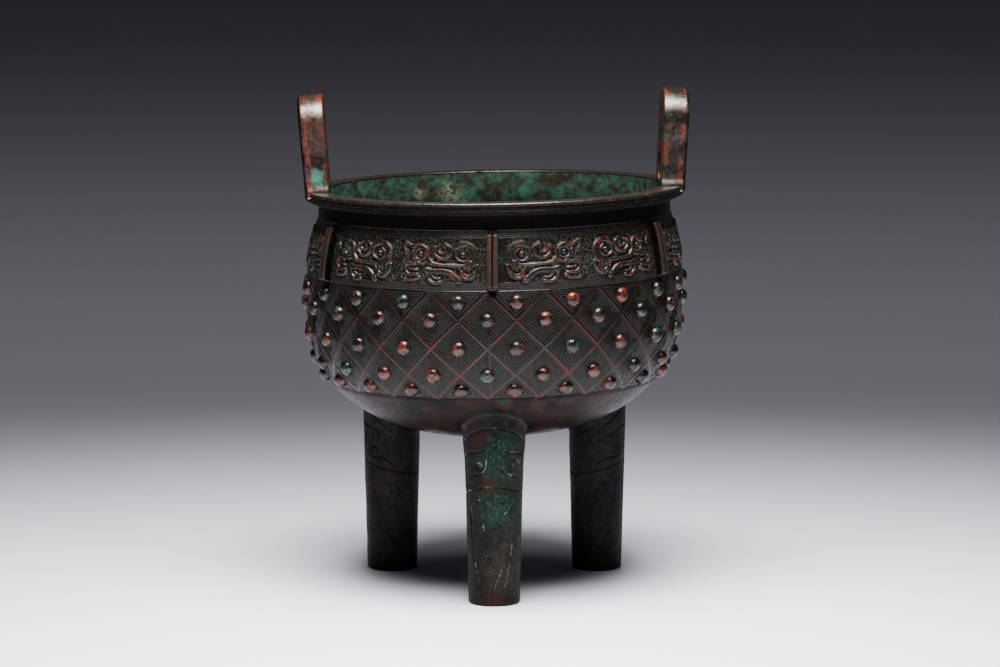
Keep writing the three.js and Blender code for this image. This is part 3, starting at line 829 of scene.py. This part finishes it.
# Incised lines, as places across from a leg's outer middle and up from the floor
LEG_LINE_WIDTH = 0.65
LEG_STROKES = {
    "collar": [(-28.6, 65), (-20.1, 72), (-9.9, 77.5), (0.6, 79.8), (9.9, 77.2), (20.1, 72), (28.6, 65)],
    "brow_left": [(-22.5, 63.3), (-15.1, 67.5), (-6.2, 69.1), (-3.6, 70.9)],
    "brow_right": [(5, 69.3), (9.9, 68.5), (20.1, 66.7), (22.5, 63.3)],
    "eye_left": [(-4.1, 68.5), (-3.6, 64.7), (-4.2, 61.3), (-6.6, 59.2), (-10.9, 58.3), (-12, 56.4)],
    "eye_right": [(7.2, 68.8), (4.5, 67.4), (3.3, 65.3), (3.4, 62.5), (4.2, 60.2), (7, 58.9), (11, 57.7)],
    "lid_right": [(6.3, 64.3), (9.2, 65.6), (13, 64.1), (13.2, 60.7)],
    "girdle": [(-41.5, 45), (-27.6, 47.4), (-14.1, 51), (-0.3, 53.4), (14.1, 51), (27.6, 47.4), (41.5, 45)],
    "hook_left": [(-9.3, 46.5), (-7.1, 47.5), (-4.9, 46.9), (-4.2, 45), (-4.8, 42.7), (-6.2, 42.6)],
    "barb_left": [(-6.6, 37.6), (-5.4, 36.3), (-5.1, 33.5)],
    "hook_right": [(4.1, 46.6), (6.9, 46.7), (8.1, 44.4), (6.9, 42.8), (5, 41.3)],
    "blade_left": [(-13, 44), (-11.2, 22.9), (-8.2, 12.1), (-5.8, 4.4)],
    "blade_middle": [(-1.9, 3.2), (0.9, 9.7), (4, 16.8)],
    "blade_right": [(3.5, 5.1), (5.7, 9.5), (7.4, 14.4), (10, 30)],
}

# Lines that lie alike on a leg's left and right
LEG_SIDE_STROKES = {
    "cheek": [(27.9, 51), (23.5, 53.5), (18.6, 53.5), (15.5, 56)],
    "side_hook": [(23.5, 42), (26.2, 42), (28.3, 39), (27.8, 37)],
    "side_barb": [(28.9, 32.5), (32, 27.3)],
    "side_blade": [(17.9, 44.8), (18.6, 38.6), (22.4, 27.3), (30, 12)],
    "side_blade_inside": [(19.6, 27.3), (23, 17), (28, 5.8)],
    "low_barb": [(35.2, 19.8), (37.8, 12)],
}
LEG_CURLS = {
    "eye_left": ((-7.4, 62.6), 1.6),
    "eye_right": ((7.9, 61.9), 1.8),
    "side_left": ((-18.6, 57.4), 2.1),
    "side_right": ((18.6, 57.4), 2.1),
}


def leg_paths():
    paths = [curve_through(points) for points in LEG_STROKES.values()]
    for points in LEG_SIDE_STROKES.values():
        paths += [curve_through(np.array(points) * [side, 1]) for side in (1, -1)]
    paths += [ring_path(centre, radius, turns=1.5, shrink=0.9) for centre, radius in LEG_CURLS.values()]
    return paths


def leg_lines(across, height):
    """How deep the incised lines cut a leg, from 0 to 1."""
    cut = np.zeros(across.shape)
    for path in leg_paths():
        away = distance_to(path, across, height, LEG_LINE_WIDTH / 2)
        cut = np.maximum(cut, rounded_over(away, LEG_LINE_WIDTH / 2))
    return cut


def bowl_height(points):
    """Height of the bowl's underside straight above or below some points."""
    below = WALKED > BAND_DEPTH
    radius = np.hypot(points[..., 0], points[..., 1])
    level = np.interp(radius, PROFILE[below, 0][::-1], PROFILE[below, 1][::-1])
    return level + points[..., 0] * math.tan(BOWL_TILT)


def on_leg(turn, facing, radius, height):
    """Points at an angle and a radius round a leg, from its outer middle."""
    spot = around(facing, radius, height) - [0, LEG_CIRCLE, 0]
    return turned_about_axis(spot, turn)


def leg(turn, material):
    """A round, tapered leg with incised lines, rooted in the bowl's wall with a small fillet."""
    step = np.linspace(-math.pi, math.pi, LEG_COLUMNS, endpoint=False)
    facing = step - LEG_FINE_FRONT * np.sin(step)
    inward = ((1 - np.cos(facing)) / 2) ** 3
    top = bowl_height(on_leg(turn, facing, LEG_TOP_RADIUS + LEG_FILLET * inward, 0)) + WALL / 2
    height = np.linspace(1, 0, LEG_ROWS)[:, None] * top
    facing = np.broadcast_to(facing, height.shape)
    share = np.clip(height / BOWL_FOOT, 0, 1)
    radius = LEG_FOOT_RADIUS + (LEG_TOP_RADIUS - LEG_FOOT_RADIUS) * share
    radius += LEG_FILLET * inward * smooth_step(BOWL_FOOT - LEG_FILLET, BOWL_FOOT + LEG_FILLET, height)
    gap = np.clip(top - WALL / 2 - height, 0, None)
    radius += LEG_ROOT_FILLET * np.exp(-gap / LEG_ROOT_FILLET)
    cut = leg_lines(facing * LEG_TOP_RADIUS, height)
    worn = noise(on_leg(0, facing, radius, height) + 50 * turn, size=7, seed=8)
    radius -= INCISION * cut + 2 * WORN_DEPTH * worn
    edge = np.clip(LEG_EDGE - height, 0, LEG_EDGE)
    radius -= LEG_EDGE - np.sqrt(LEG_EDGE ** 2 - edge ** 2)
    points = on_leg(turn, facing, radius, height)
    faces = grid_faces(*height.shape, closed=True)
    last = np.arange(LEG_COLUMNS) + (LEG_ROWS - 1) * LEG_COLUMNS
    faces.append(last[::-1].tolist())
    return make_piece(piece_name("leg", turn), points, faces, material, NEUTRAL - (NEUTRAL - GROOVE) * cut)


# Handles

def handle_path():
    """Places along the loop: across, up, how far it has turned over, and its flare at the foot."""
    reach = (HANDLE_SPAN - HANDLE_STRAP) / 2
    bend = HANDLE_SHOULDER - HANDLE_STRAP / 2
    crown = HANDLE_RISE - HANDLE_STRAP / 2
    stops = []
    for up in np.arange(-LIP_DEPTH / 2, crown - bend, HANDLE_STEP):
        flare = HANDLE_FLARE * (1 - smooth_step(0, 2 * HANDLE_FLARE + HANDLE_EDGE, up))
        stops.append((-reach, up, 0, flare))
    for turn in np.linspace(0, math.pi / 2, 12):
        over = bend * (1 - math.cos(turn))
        stops.append((-reach + over, crown - bend * (1 - math.sin(turn)), turn, 0))
    for across in np.arange(-reach + bend + HANDLE_STEP, 0, HANDLE_STEP):
        stops.append((across, crown, math.pi / 2, 0))
    mirrored = [(-across, up, math.pi - turn, flare) for across, up, turn, flare in reversed(stops)]
    return stops + mirrored


# A section's corners: is it on the outer face, is it on the loop's outer side, its rounding, and how
# rubbed it is where it starts and beyond
HANDLE_CORNERS = [
    (-1, 1, HANDLE_EDGE, 0.9, 0.9),
    # The bevel's low value beyond its corner stands for painted shade, which the handle's material darkens.
    (1, 1, HANDLE_BEVEL, 0.9, 0.25),
    (1, -1, HANDLE_EDGE, 0.8, 0.8),
    (-1, -1, HANDLE_EDGE, 0.9, 0.9),
]


def handle_section(x, half):
    """A strap's section with a broad bevel, as places, their rub and their share of green."""
    places, rub_and_shade, green = [], [], []
    for i, (outer, over, round_off, start, beyond) in enumerate(HANDLE_CORNERS):
        here = np.array([outer * x, over * half])
        around_here = [np.array(HANDLE_CORNERS[(i + k) % 4][:2]) * [x, half] for k in (-1, 1)]
        ways = [np.sign(place - here) for place in around_here]
        before, after = (here + way * round_off for way in ways)
        turn = corner(before, here, after)
        places += [*turn, (here + around_here[1]) / 2]
        rub_and_shade += [start] + [beyond] * (len(turn) - 1) + [NEUTRAL]
        green += [0.5 if outer < 0 else 0] * len(turn) + [1 if i == 3 else 0]
    return np.array(places), rub_and_shade, green


def handle(side, material):
    """One upright loop, leaning out from the lip, whose foot slopes into the lip within the mouth."""
    middle = RIM_RADIUS - HANDLE_FOOT_THICKNESS / 2 - HANDLE_INSET
    rings = []
    for across, up, turn, flare in handle_path():
        thickness = np.interp(up, [0, HANDLE_RISE], [HANDLE_FOOT_THICKNESS, HANDLE_TOP_THICKNESS])
        places, rub_and_shade, green = handle_section(thickness / 2, HANDLE_STRAP / 2 + flare)
        tuck = HANDLE_TUCK * np.clip(-up / (LIP_DEPTH / 2), 0, 1)
        places[:, 0] = np.maximum(places[:, 0], tuck - thickness / 2)
        rings.append(np.column_stack([
            places[:, 0],
            across - places[:, 1] * math.cos(turn),
            up + places[:, 1] * math.sin(turn),
        ]))
    x, y, z = np.moveaxis(np.array(rings), -1, 0)
    lean = HANDLE_LEAN - side * BOWL_TILT
    cos, sin = math.cos(lean), math.sin(lean)
    points = np.stack([x * cos + z * sin + middle, y, z * cos - x * sin + RIM_HEIGHT - HANDLE_INSET], axis=-1)
    points = turned_about_axis(points, HANDLE_TURN + (0 if side > 0 else math.pi))
    count = points.shape[1]
    name = "handle_right" if side > 0 else "handle_left"
    faces = grid_faces(len(points), count, closed=True, flip=True)
    faces.append(np.arange(count).tolist())
    faces.append((np.arange(count)[::-1] + (len(points) - 1) * count).tolist())
    return make_piece(name, skewed(points), faces, material, np.array(rub_and_shade), green=np.array(green))


# Materials

class Patina:
    """A node material of bronze that is coated layer by layer: bare metal first, corrosion last."""

    def __init__(self, name, ground):
        self.material = bpy.data.materials.new(name)
        self.material.use_nodes = True
        self.tree = self.material.node_tree
        self.shader = self.tree.nodes["Principled BSDF"]
        self.place = self.node("ShaderNodeTexCoord").outputs["Object"]
        self.rub_and_shade = self.layer("rub_and_shade")
        self.colour = ground

    def node(self, kind, **settings):
        node = self.tree.nodes.new(kind)
        for key, value in settings.items():
            setattr(node, key, value)
        return node

    def link(self, source, socket):
        if hasattr(source, "links"):
            self.tree.links.new(source, socket)
        else:
            socket.default_value = source

    def layer(self, name):
        return self.node("ShaderNodeAttribute", attribute_name=name).outputs["Fac"]

    def noise(self, size, detail=3.0, roughness=0.55):
        """Noise with features of a size in millimetres."""
        node = self.node("ShaderNodeTexNoise")
        settings = {"Vector": self.place, "Scale": 1 / (size * MM), "Detail": detail, "Roughness": roughness}
        for name, value in settings.items():
            self.link(value, node.inputs[name])
        return node.outputs["Fac"]

    def math(self, operation, *values):
        node = self.node("ShaderNodeMath", operation=operation)
        for value, socket in zip(values, node.inputs):
            self.link(value, socket)
        return node.outputs[0]

    def ramp(self, value, low, high, to_low=0.0, to_high=1.0):
        """A smooth change from one value to another as the input goes from low to high."""
        node = self.node("ShaderNodeMapRange", interpolation_type="SMOOTHSTEP")
        for socket, item in zip(node.inputs, (value, low, high, to_low, to_high)):
            self.link(item, socket)
        return node.outputs["Result"]

    def between(self, share, low, high):
        """A value that goes from low to high as a share goes from 0 to 1."""
        return self.ramp(share, 0, 1, low, high)

    def wander(self, size, low, high):
        """A value that wanders between two with noise of a size."""
        return self.ramp(self.noise(size), 0.3, 0.7, low, high)

    def patches(self, size, cover, most=1.0, detail=5.0, soft=0.09):
        """Ragged patches of a size that cover about a share of the surface."""
        edge = 0.5 + (0.5 - cover) * PATCH_SPREAD
        return self.ramp(self.noise(size, detail, PATCH_ROUGHNESS), edge, edge + soft, 0.0, most)

    def product(self, first, *rest):
        for value in rest:
            first = self.math("MULTIPLY", first, value)
        return first

    def without(self, value, *patches):
        """A value that drops to nothing under patches of corrosion."""
        return self.product(value, *(self.between(patch, 1.0, 0.0) for patch in patches))

    def mix(self, share, first, second):
        """Mixes two colours."""
        node = self.node("ShaderNodeMix", data_type="RGBA")
        sockets = [s for s in node.inputs if s.type == "RGBA"]
        self.link(share, node.inputs["Factor"])
        for socket, colour in zip(sockets, (first, second)):
            self.link(colour if hasattr(colour, "links") else (*colour, 1), socket)
        return [s for s in node.outputs if s.type == "RGBA"][0]

    def coat(self, colour, *shares):
        """Lays a colour over the last one, as far as its shares say when multiplied."""
        self.colour = self.mix(self.product(*shares), self.colour, colour)

    def spot(self, centre, radius):
        """A soft patch, frayed by noise, about a place in millimetres."""
        away = self.node("ShaderNodeVectorMath", operation="DISTANCE")
        self.link(self.place, away.inputs[0])
        away.inputs[1].default_value = [c * MM for c in centre]
        fray = self.noise(radius * SPOT_GRAIN)
        frayed = self.math("MULTIPLY_ADD", fray, radius * SPOT_FRAY * MM, away.outputs["Value"])
        edge = radius * SPOT_REACH * MM
        return self.ramp(frayed, edge * SPOT_CORE, edge, 1.0, 0.0)

    def spots(self, places):
        """Soft patches about several places."""
        first, *rest = [self.spot(*place) for place in places]
        for spot in rest:
            first = self.math("MAXIMUM", first, spot)
        return first

    def bump(self, *layers):
        """Small unevenness: noise features of (size, depth) in millimetres."""
        normal = None
        for size, depth in layers:
            node = self.node("ShaderNodeBump")
            node.inputs["Distance"].default_value = depth * MM
            self.link(self.noise(size), node.inputs["Height"])
            if normal:
                self.link(normal, node.inputs["Normal"])
            normal = node.outputs["Normal"]
        self.link(normal, self.shader.inputs["Normal"])

    def finish(self, metallic, roughness, sheen=DULL_SHEEN):
        self.link(self.colour, self.shader.inputs["Base Color"])
        self.link(metallic, self.shader.inputs["Metallic"])
        self.link(roughness, self.shader.inputs["Roughness"])
        self.link(sheen, self.shader.inputs["Specular IOR Level"])
        return self.material


def dark_bronze(name):
    """A patina that begins near-black and wanders to brown and to green."""
    patina = Patina(name, BLACK_BRONZE)
    patina.coat(BROWN_BRONZE, patina.ramp(patina.noise(22), 0.42, 0.66))
    patina.coat(GREEN_BRONZE, patina.patches(13, 0.35))
    return patina


def field_bronze():
    """The lozenge field: black grooves, rubbed lines, and brown strips with dull red patches."""
    patina = Patina("field_bronze", BLACK_BRONZE)
    line = patina.ramp(patina.rub_and_shade, GROOVE, LINE_CREST)
    crest = patina.mix(patina.patches(5, 0.4, 0.8), LINE_BRONZE, DEEP_GREEN)
    patina.coat(patina.mix(patina.patches(9, 0.3, 0.7), crest, RED_BROWN), line)
    strip = patina.ramp(patina.rub_and_shade, LINE_CREST, STRIP)
    patina.coat(patina.mix(patina.patches(12, 0.5), LINE_BRONZE, STRIP_BRONZE), strip)
    patina.coat(DULL_RED, strip, patina.patches(6, 0.55, 0.8))
    patina.coat(CUPRITE, strip, patina.patches(3, 0.15, 0.6))
    patina.coat(MALACHITE, patina.patches(3.5, 0.12, 0.7))
    patina.bump(FINE_PITS, GRAIN)
    metallic = patina.between(line, 0.1, 0.65)
    return patina.finish(metallic, patina.wander(2.5, 0.2, 0.36), sheen=patina.between(line, 0.04, 0.22))


def band_bronze():
    """The dragon band: dusty ground, glossy dragons, red where the surface skin is gone."""
    patina = Patina("band_bronze", BLACK_BRONZE)
    patina.coat(RUBBED_BRONZE, patina.ramp(patina.rub_and_shade, GROOVE, LINE_CREST))
    speck = patina.product(patina.layer("dust"), patina.patches(0.9, 0.5, 0.7, detail=2))
    patina.coat(DUST, speck, patina.patches(14, 0.75))
    crest = patina.ramp(patina.rub_and_shade, LINE_CREST, 0.95)
    patina.coat(RUBBED_BRONZE, crest)
    rusty = patina.product(patina.ramp(patina.rub_and_shade, 0.3, 0.8), patina.patches(3.4, 0.5, 0.95))
    rust = patina.mix(patina.patches(5, 0.5), DULL_RED, CUPRITE)
    patina.coat(rust, rusty, patina.patches(24, 0.75))
    patina.coat(MALACHITE, patina.patches(3.5, 0.2, 0.7))
    patina.bump(FINE_PITS, GRAIN)
    metallic = patina.without(patina.between(crest, 0.15, 0.8), rusty)
    return patina.finish(metallic, patina.wander(2, 0.2, 0.34), sheen=0.2)


def flange_bronze():
    """Flanges: dull red ridges on dark sides."""
    patina = dark_bronze("flange_bronze")
    crest = patina.ramp(patina.rub_and_shade, 0.5, 0.9)
    patina.coat(RUBBED_BRONZE, crest)
    rusty = patina.product(crest, patina.patches(3, 0.65, 0.8, soft=0.2))
    patina.coat(patina.mix(patina.patches(6, 0.25), DULL_RED, CUPRITE), rusty)
    patina.coat(MALACHITE, patina.patches(3, 0.2, 0.7))
    patina.bump((0.9, 0.08), GRAIN)
    return patina.finish(patina.without(0.5, rusty), 0.34)


def boss_bronze():
    """Bosses: rubbed smooth, pink or grey, each more given to red patches or to green ones."""
    patina = dark_bronze("boss_bronze")
    tint = patina.layer("tint")
    bare = patina.ramp(patina.rub_and_shade, 0.25, 0.75)
    rubbed = patina.mix(patina.ramp(tint, 0.2, 0.8), GREY_BOSS, PINK_BOSS)
    patina.coat(patina.mix(patina.patches(3, 0.3, 0.6), rubbed, LINE_BRONZE), bare)
    blotch = patina.noise(3, detail=4, roughness=PATCH_ROUGHNESS)
    reddish = patina.ramp(patina.math("MULTIPLY_ADD", tint, TINT_LEANING, blotch), 0.6, 0.64)
    reddish = patina.product(reddish, bare, 0.8)
    patina.coat(CUPRITE, reddish)
    blotch = patina.noise(2.6, detail=4, roughness=PATCH_ROUGHNESS)
    greenish = patina.ramp(patina.math("MULTIPLY_ADD", tint, -TINT_LEANING, blotch), 0.53, 0.57, 0, 0.9)
    patina.coat(MALACHITE, greenish)
    patina.bump((1.1, 0.08), GRAIN)
    metallic = patina.without(patina.between(bare, 0.2, 0.85), reddish, greenish)
    return patina.finish(metallic, patina.wander(2, 0.18, 0.32), sheen=0.4)


def wall_bronze():
    """The smooth wall under the field: brown, red-brown and green, mottled."""
    patina = dark_bronze("wall_bronze")
    patina.coat(RED_BROWN, patina.patches(9, 0.5, 0.9))
    patina.coat(DEEP_GREEN, patina.patches(9, 0.3, 0.8))
    patina.coat(MALACHITE, patina.patches(4, 0.15, 0.7))
    patina.bump((2.2, 0.1), (0.5, 0.03))
    return patina.finish(0.3, patina.wander(3, 0.3, 0.45))


def leg_bronze():
    """Legs: dark, with fine green speckle; the front one has green, red and pale patches of its own."""
    patina = dark_bronze("leg_bronze")
    patina.coat(RUBBED_BRONZE, patina.patches(7, 0.45, 0.6, soft=0.3))
    patina.coat(RED_BROWN, patina.patches(8, 0.25, 0.5))
    patina.coat(DEEP_GREEN, patina.patches(1.8, 0.5, 0.7, soft=0.2))
    patina.coat(RUBBED_BRONZE, patina.patches(0.7, 0.4, 0.5, detail=2))
    green = patina.math("MAXIMUM", patina.spots(LEG_GREEN), patina.patches(9, 0.25, 0.4))
    tone = patina.mix(patina.patches(2, 0.68, soft=0.2), DEEP_GREEN, MALACHITE)
    patina.coat(tone, green, patina.patches(0.9, 0.72, 0.95, detail=4, soft=0.2))
    patina.coat(RED_BROWN, patina.spots(LEG_RED), 0.85)
    patina.coat(DUST, patina.spots(LEG_DUSTY), patina.patches(0.9, 0.35, 0.35, detail=2))
    in_lines = patina.ramp(patina.rub_and_shade, GROOVE, NEUTRAL * 0.8, 1.0, 0.0)
    patina.coat(BLACK_BRONZE, in_lines)
    pale = patina.product(in_lines, patina.patches(7, 0.5, 0.8), patina.patches(1, 0.7))
    patina.coat(PALE_GREEN, pale, patina.spots(LEG_PALE_LINES))
    patina.bump((1.6, 0.12), (0.4, 0.05))
    return patina.finish(0.2, patina.wander(3, 0.42, 0.6))


def inside_bronze():
    """The inside: green corrosion, browner low down, with teal, pale and red patches and dark pits."""
    patina = Patina("inside_bronze", INSIDE_BROWN)
    patina.coat(INSIDE_GREEN, patina.ramp(patina.noise(6, detail=6, roughness=0.65), 0.38, 0.66))
    patina.coat(TURQUOISE, patina.patches(9, 0.5, 0.9, soft=0.25))
    patina.coat(INSIDE_BROWN, patina.patches(15, 0.6, 0.9, soft=0.2), patina.patches(40, 0.6, soft=0.3))
    patina.coat(INSIDE_RED, patina.patches(9, 0.5, 0.9, soft=0.2), patina.patches(34, 0.55, soft=0.3))
    patina.coat(INSIDE_BROWN, patina.spots(INSIDE_BOTTOM), 0.75)
    light = patina.mix(patina.patches(4, 0.5), PALE_GREEN, OCHRE)
    patina.coat(light, patina.spots(INSIDE_PALE), patina.patches(2, 0.7, 0.9))
    patina.coat(BLACK_BRONZE, patina.patches(2, 0.3, 0.8, detail=3))
    patina.bump((2.5, 0.2), (0.6, 0.06))
    return patina.finish(0.1, patina.wander(3, 0.45, 0.65))


def rim_bronze():
    """Rim and neck: brown and grey-green, red and bright along the rubbed edge, painted black in the neck for
    the lip's shade.
    """
    patina = Patina("rim_bronze", BLACK_BRONZE)
    patina.coat(BROWN_BRONZE, patina.patches(6, 0.4, 0.8, soft=0.2))
    patina.coat(RED_BROWN, patina.patches(4, 0.3, 0.6))
    patina.coat(DEEP_GREEN, patina.patches(6, 0.35, 0.6))
    patina.coat(BLACK_BRONZE, patina.patches(2, 0.4, 0.8, soft=0.2))
    # Painted shade: the neck is coated black, as the shadow under the lip.
    painted_neck_shade = patina.ramp(patina.rub_and_shade, GROOVE, NEUTRAL, 1.0, 0.0)
    patina.coat(BLACK_BRONZE, painted_neck_shade)
    bare = patina.product(patina.ramp(patina.rub_and_shade, 0.5, 0.9), patina.patches(9, 0.85))
    patina.coat(GREY_BRONZE, bare)
    rusty = patina.product(patina.ramp(patina.rub_and_shade, 0.4, 0.8), patina.patches(3.5, 0.3, 0.9))
    patina.coat(CUPRITE, rusty)
    patina.bump((1.8, 0.1), (0.4, 0.03))
    metallic = patina.without(patina.between(bare, 0.05, 0.9), rusty)
    # Painted shade: the neck also gets less sheen, so that it stays dark.
    sheen = patina.between(painted_neck_shade, DULL_SHEEN, 0.02)
    return patina.finish(metallic, patina.wander(2.5, 0.24, 0.38), sheen)


def handle_bronze(name, bright, dull, shade):
    """Handles: finely speckled, red at the edges, green within, with painted shade darkening the bevel."""
    patina = Patina(name, bright)
    patina.coat(dull, patina.patches(9, 0.5))
    patina.coat(DUST, patina.patches(5, 0.3, 0.7))
    patina.coat(DULL_RED, patina.patches(7, 0.35, shade * 0.7, soft=0.15))
    patina.coat(BLACK_BRONZE, patina.patches(1.2, 0.45, 0.85, detail=3))
    # Painted shade: the bevel is darkened towards black, as far as the shade number says.
    patina.coat(BLACK_BRONZE, patina.ramp(patina.rub_and_shade, 0.25, 0.42, shade, 0.0))
    teal = patina.product(patina.layer("green"), patina.patches(5, 0.8, 0.9))
    patina.coat(MALACHITE, teal)
    foot = patina.spots(HANDLE_GREEN)
    patina.coat(TURQUOISE, foot)
    rusty = patina.product(patina.ramp(patina.rub_and_shade, 0.5, 0.85), patina.patches(5, 0.6))
    patina.coat(CUPRITE, rusty)
    patina.bump((1.8, 0.12), (0.5, 0.06))
    metallic = patina.without(0.6, rusty, teal, foot)
    return patina.finish(metallic, patina.wander(2.5, 0.24, 0.36), sheen=0.7)


# Camera, stage and light

def make_camera():
    camera = bpy.data.objects.new("camera", bpy.data.cameras.new("camera"))
    camera.data.sensor_width = SENSOR_WIDTH
    camera.data.lens = SENSOR_WIDTH * CAMERA_FOCAL / IMAGE_WIDTH
    camera.data.clip_end = CAMERA_REACH * MM
    camera.location = (CAMERA_SIDE * MM, -CAMERA_DISTANCE * MM, CAMERA_HEIGHT * MM)
    camera.rotation_euler = (math.pi / 2 - CAMERA_PITCH, 0, 0)
    bpy.context.scene.collection.objects.link(camera)
    bpy.context.scene.camera = camera


def floor_material():
    material = bpy.data.materials.new("floor")
    material.use_nodes = True
    shader = material.node_tree.nodes["Principled BSDF"]
    shader.inputs["Base Color"].default_value = (*FLOOR_COLOUR, 1)
    shader.inputs["Roughness"].default_value = FLOOR_ROUGHNESS
    return material


def make_stage():
    """A pale floor that sweeps up behind the vessel."""
    turn = np.linspace(0, math.pi / 2, BACKDROP_STEPS)
    depth = np.concatenate([[-FLOOR_SIZE], BACKDROP_DISTANCE + BACKDROP_CURVE * np.sin(turn)])
    height = np.concatenate([[0], BACKDROP_CURVE * (1 - np.cos(turn))])
    depth = np.append(depth, depth[-1])[:, None]
    height = np.append(height, FLOOR_SIZE)[:, None]
    sides = np.array([[-FLOOR_SIZE, FLOOR_SIZE]])
    points = np.stack(np.broadcast_arrays(sides, depth, height), axis=-1)
    mesh = bpy.data.meshes.new("floor")
    mesh.from_pydata((points.reshape(-1, 3) * MM).tolist(), [], grid_faces(*points.shape[:2], flip=True))
    mesh.shade_smooth()
    mesh.materials.append(floor_material())
    floor = bpy.data.objects.new("floor", mesh)
    bpy.context.scene.collection.objects.link(floor)


def make_light(name, place, size, power, spread):
    """A soft square light that shines straight down, in millimetres, watts and degrees of spread."""
    light = bpy.data.lights.new(name, "AREA")
    light.size = size * MM
    light.energy = power
    light.spread = math.radians(spread)
    lamp = bpy.data.objects.new(name, light)
    lamp.location = [c * MM for c in place]
    bpy.context.scene.collection.objects.link(lamp)


def make_world():
    world = bpy.data.worlds.new("studio")
    world.use_nodes = True
    background = world.node_tree.nodes["Background"]
    background.inputs["Color"].default_value = (*WORLD_COLOUR, 1)
    background.inputs["Strength"].default_value = WORLD_STRENGTH
    bpy.context.scene.world = world


# The scene

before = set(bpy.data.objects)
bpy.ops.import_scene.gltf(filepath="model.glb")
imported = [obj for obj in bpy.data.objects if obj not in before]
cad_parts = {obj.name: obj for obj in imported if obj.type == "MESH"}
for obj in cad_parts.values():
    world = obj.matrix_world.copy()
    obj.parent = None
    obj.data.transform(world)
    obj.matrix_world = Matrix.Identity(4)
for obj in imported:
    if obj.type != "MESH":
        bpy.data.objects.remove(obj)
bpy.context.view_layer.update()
make_camera()
make_stage()
make_world()
for light_name, light_values in LIGHTS.items():
    make_light(light_name, *light_values)

field_finish = field_bronze()
band_finish = band_bronze()
leg_finish = leg_bronze()

for third in range(LEGS):
    field_sector(third * THIRD, field_finish)
    band_sector(third * THIRD, band_finish)
    leg(third * THIRD, leg_finish)
bosses(boss_bronze())
flanges(flange_bronze())
rim(rim_bronze())
inside(inside_bronze())
underside(wall_bronze())
# The right handle gets darker, greyer colours and less painted shade on its bevel than the left: partly its
# own tone, partly painted shade for its darker look.
handle(1, handle_bronze("right_handle_bronze", STRIP_BRONZE, GREY_BRONZE, shade=0.4))
handle(-1, handle_bronze("left_handle_bronze", COPPER_BRONZE, RED_BROWN, shade=1.0))
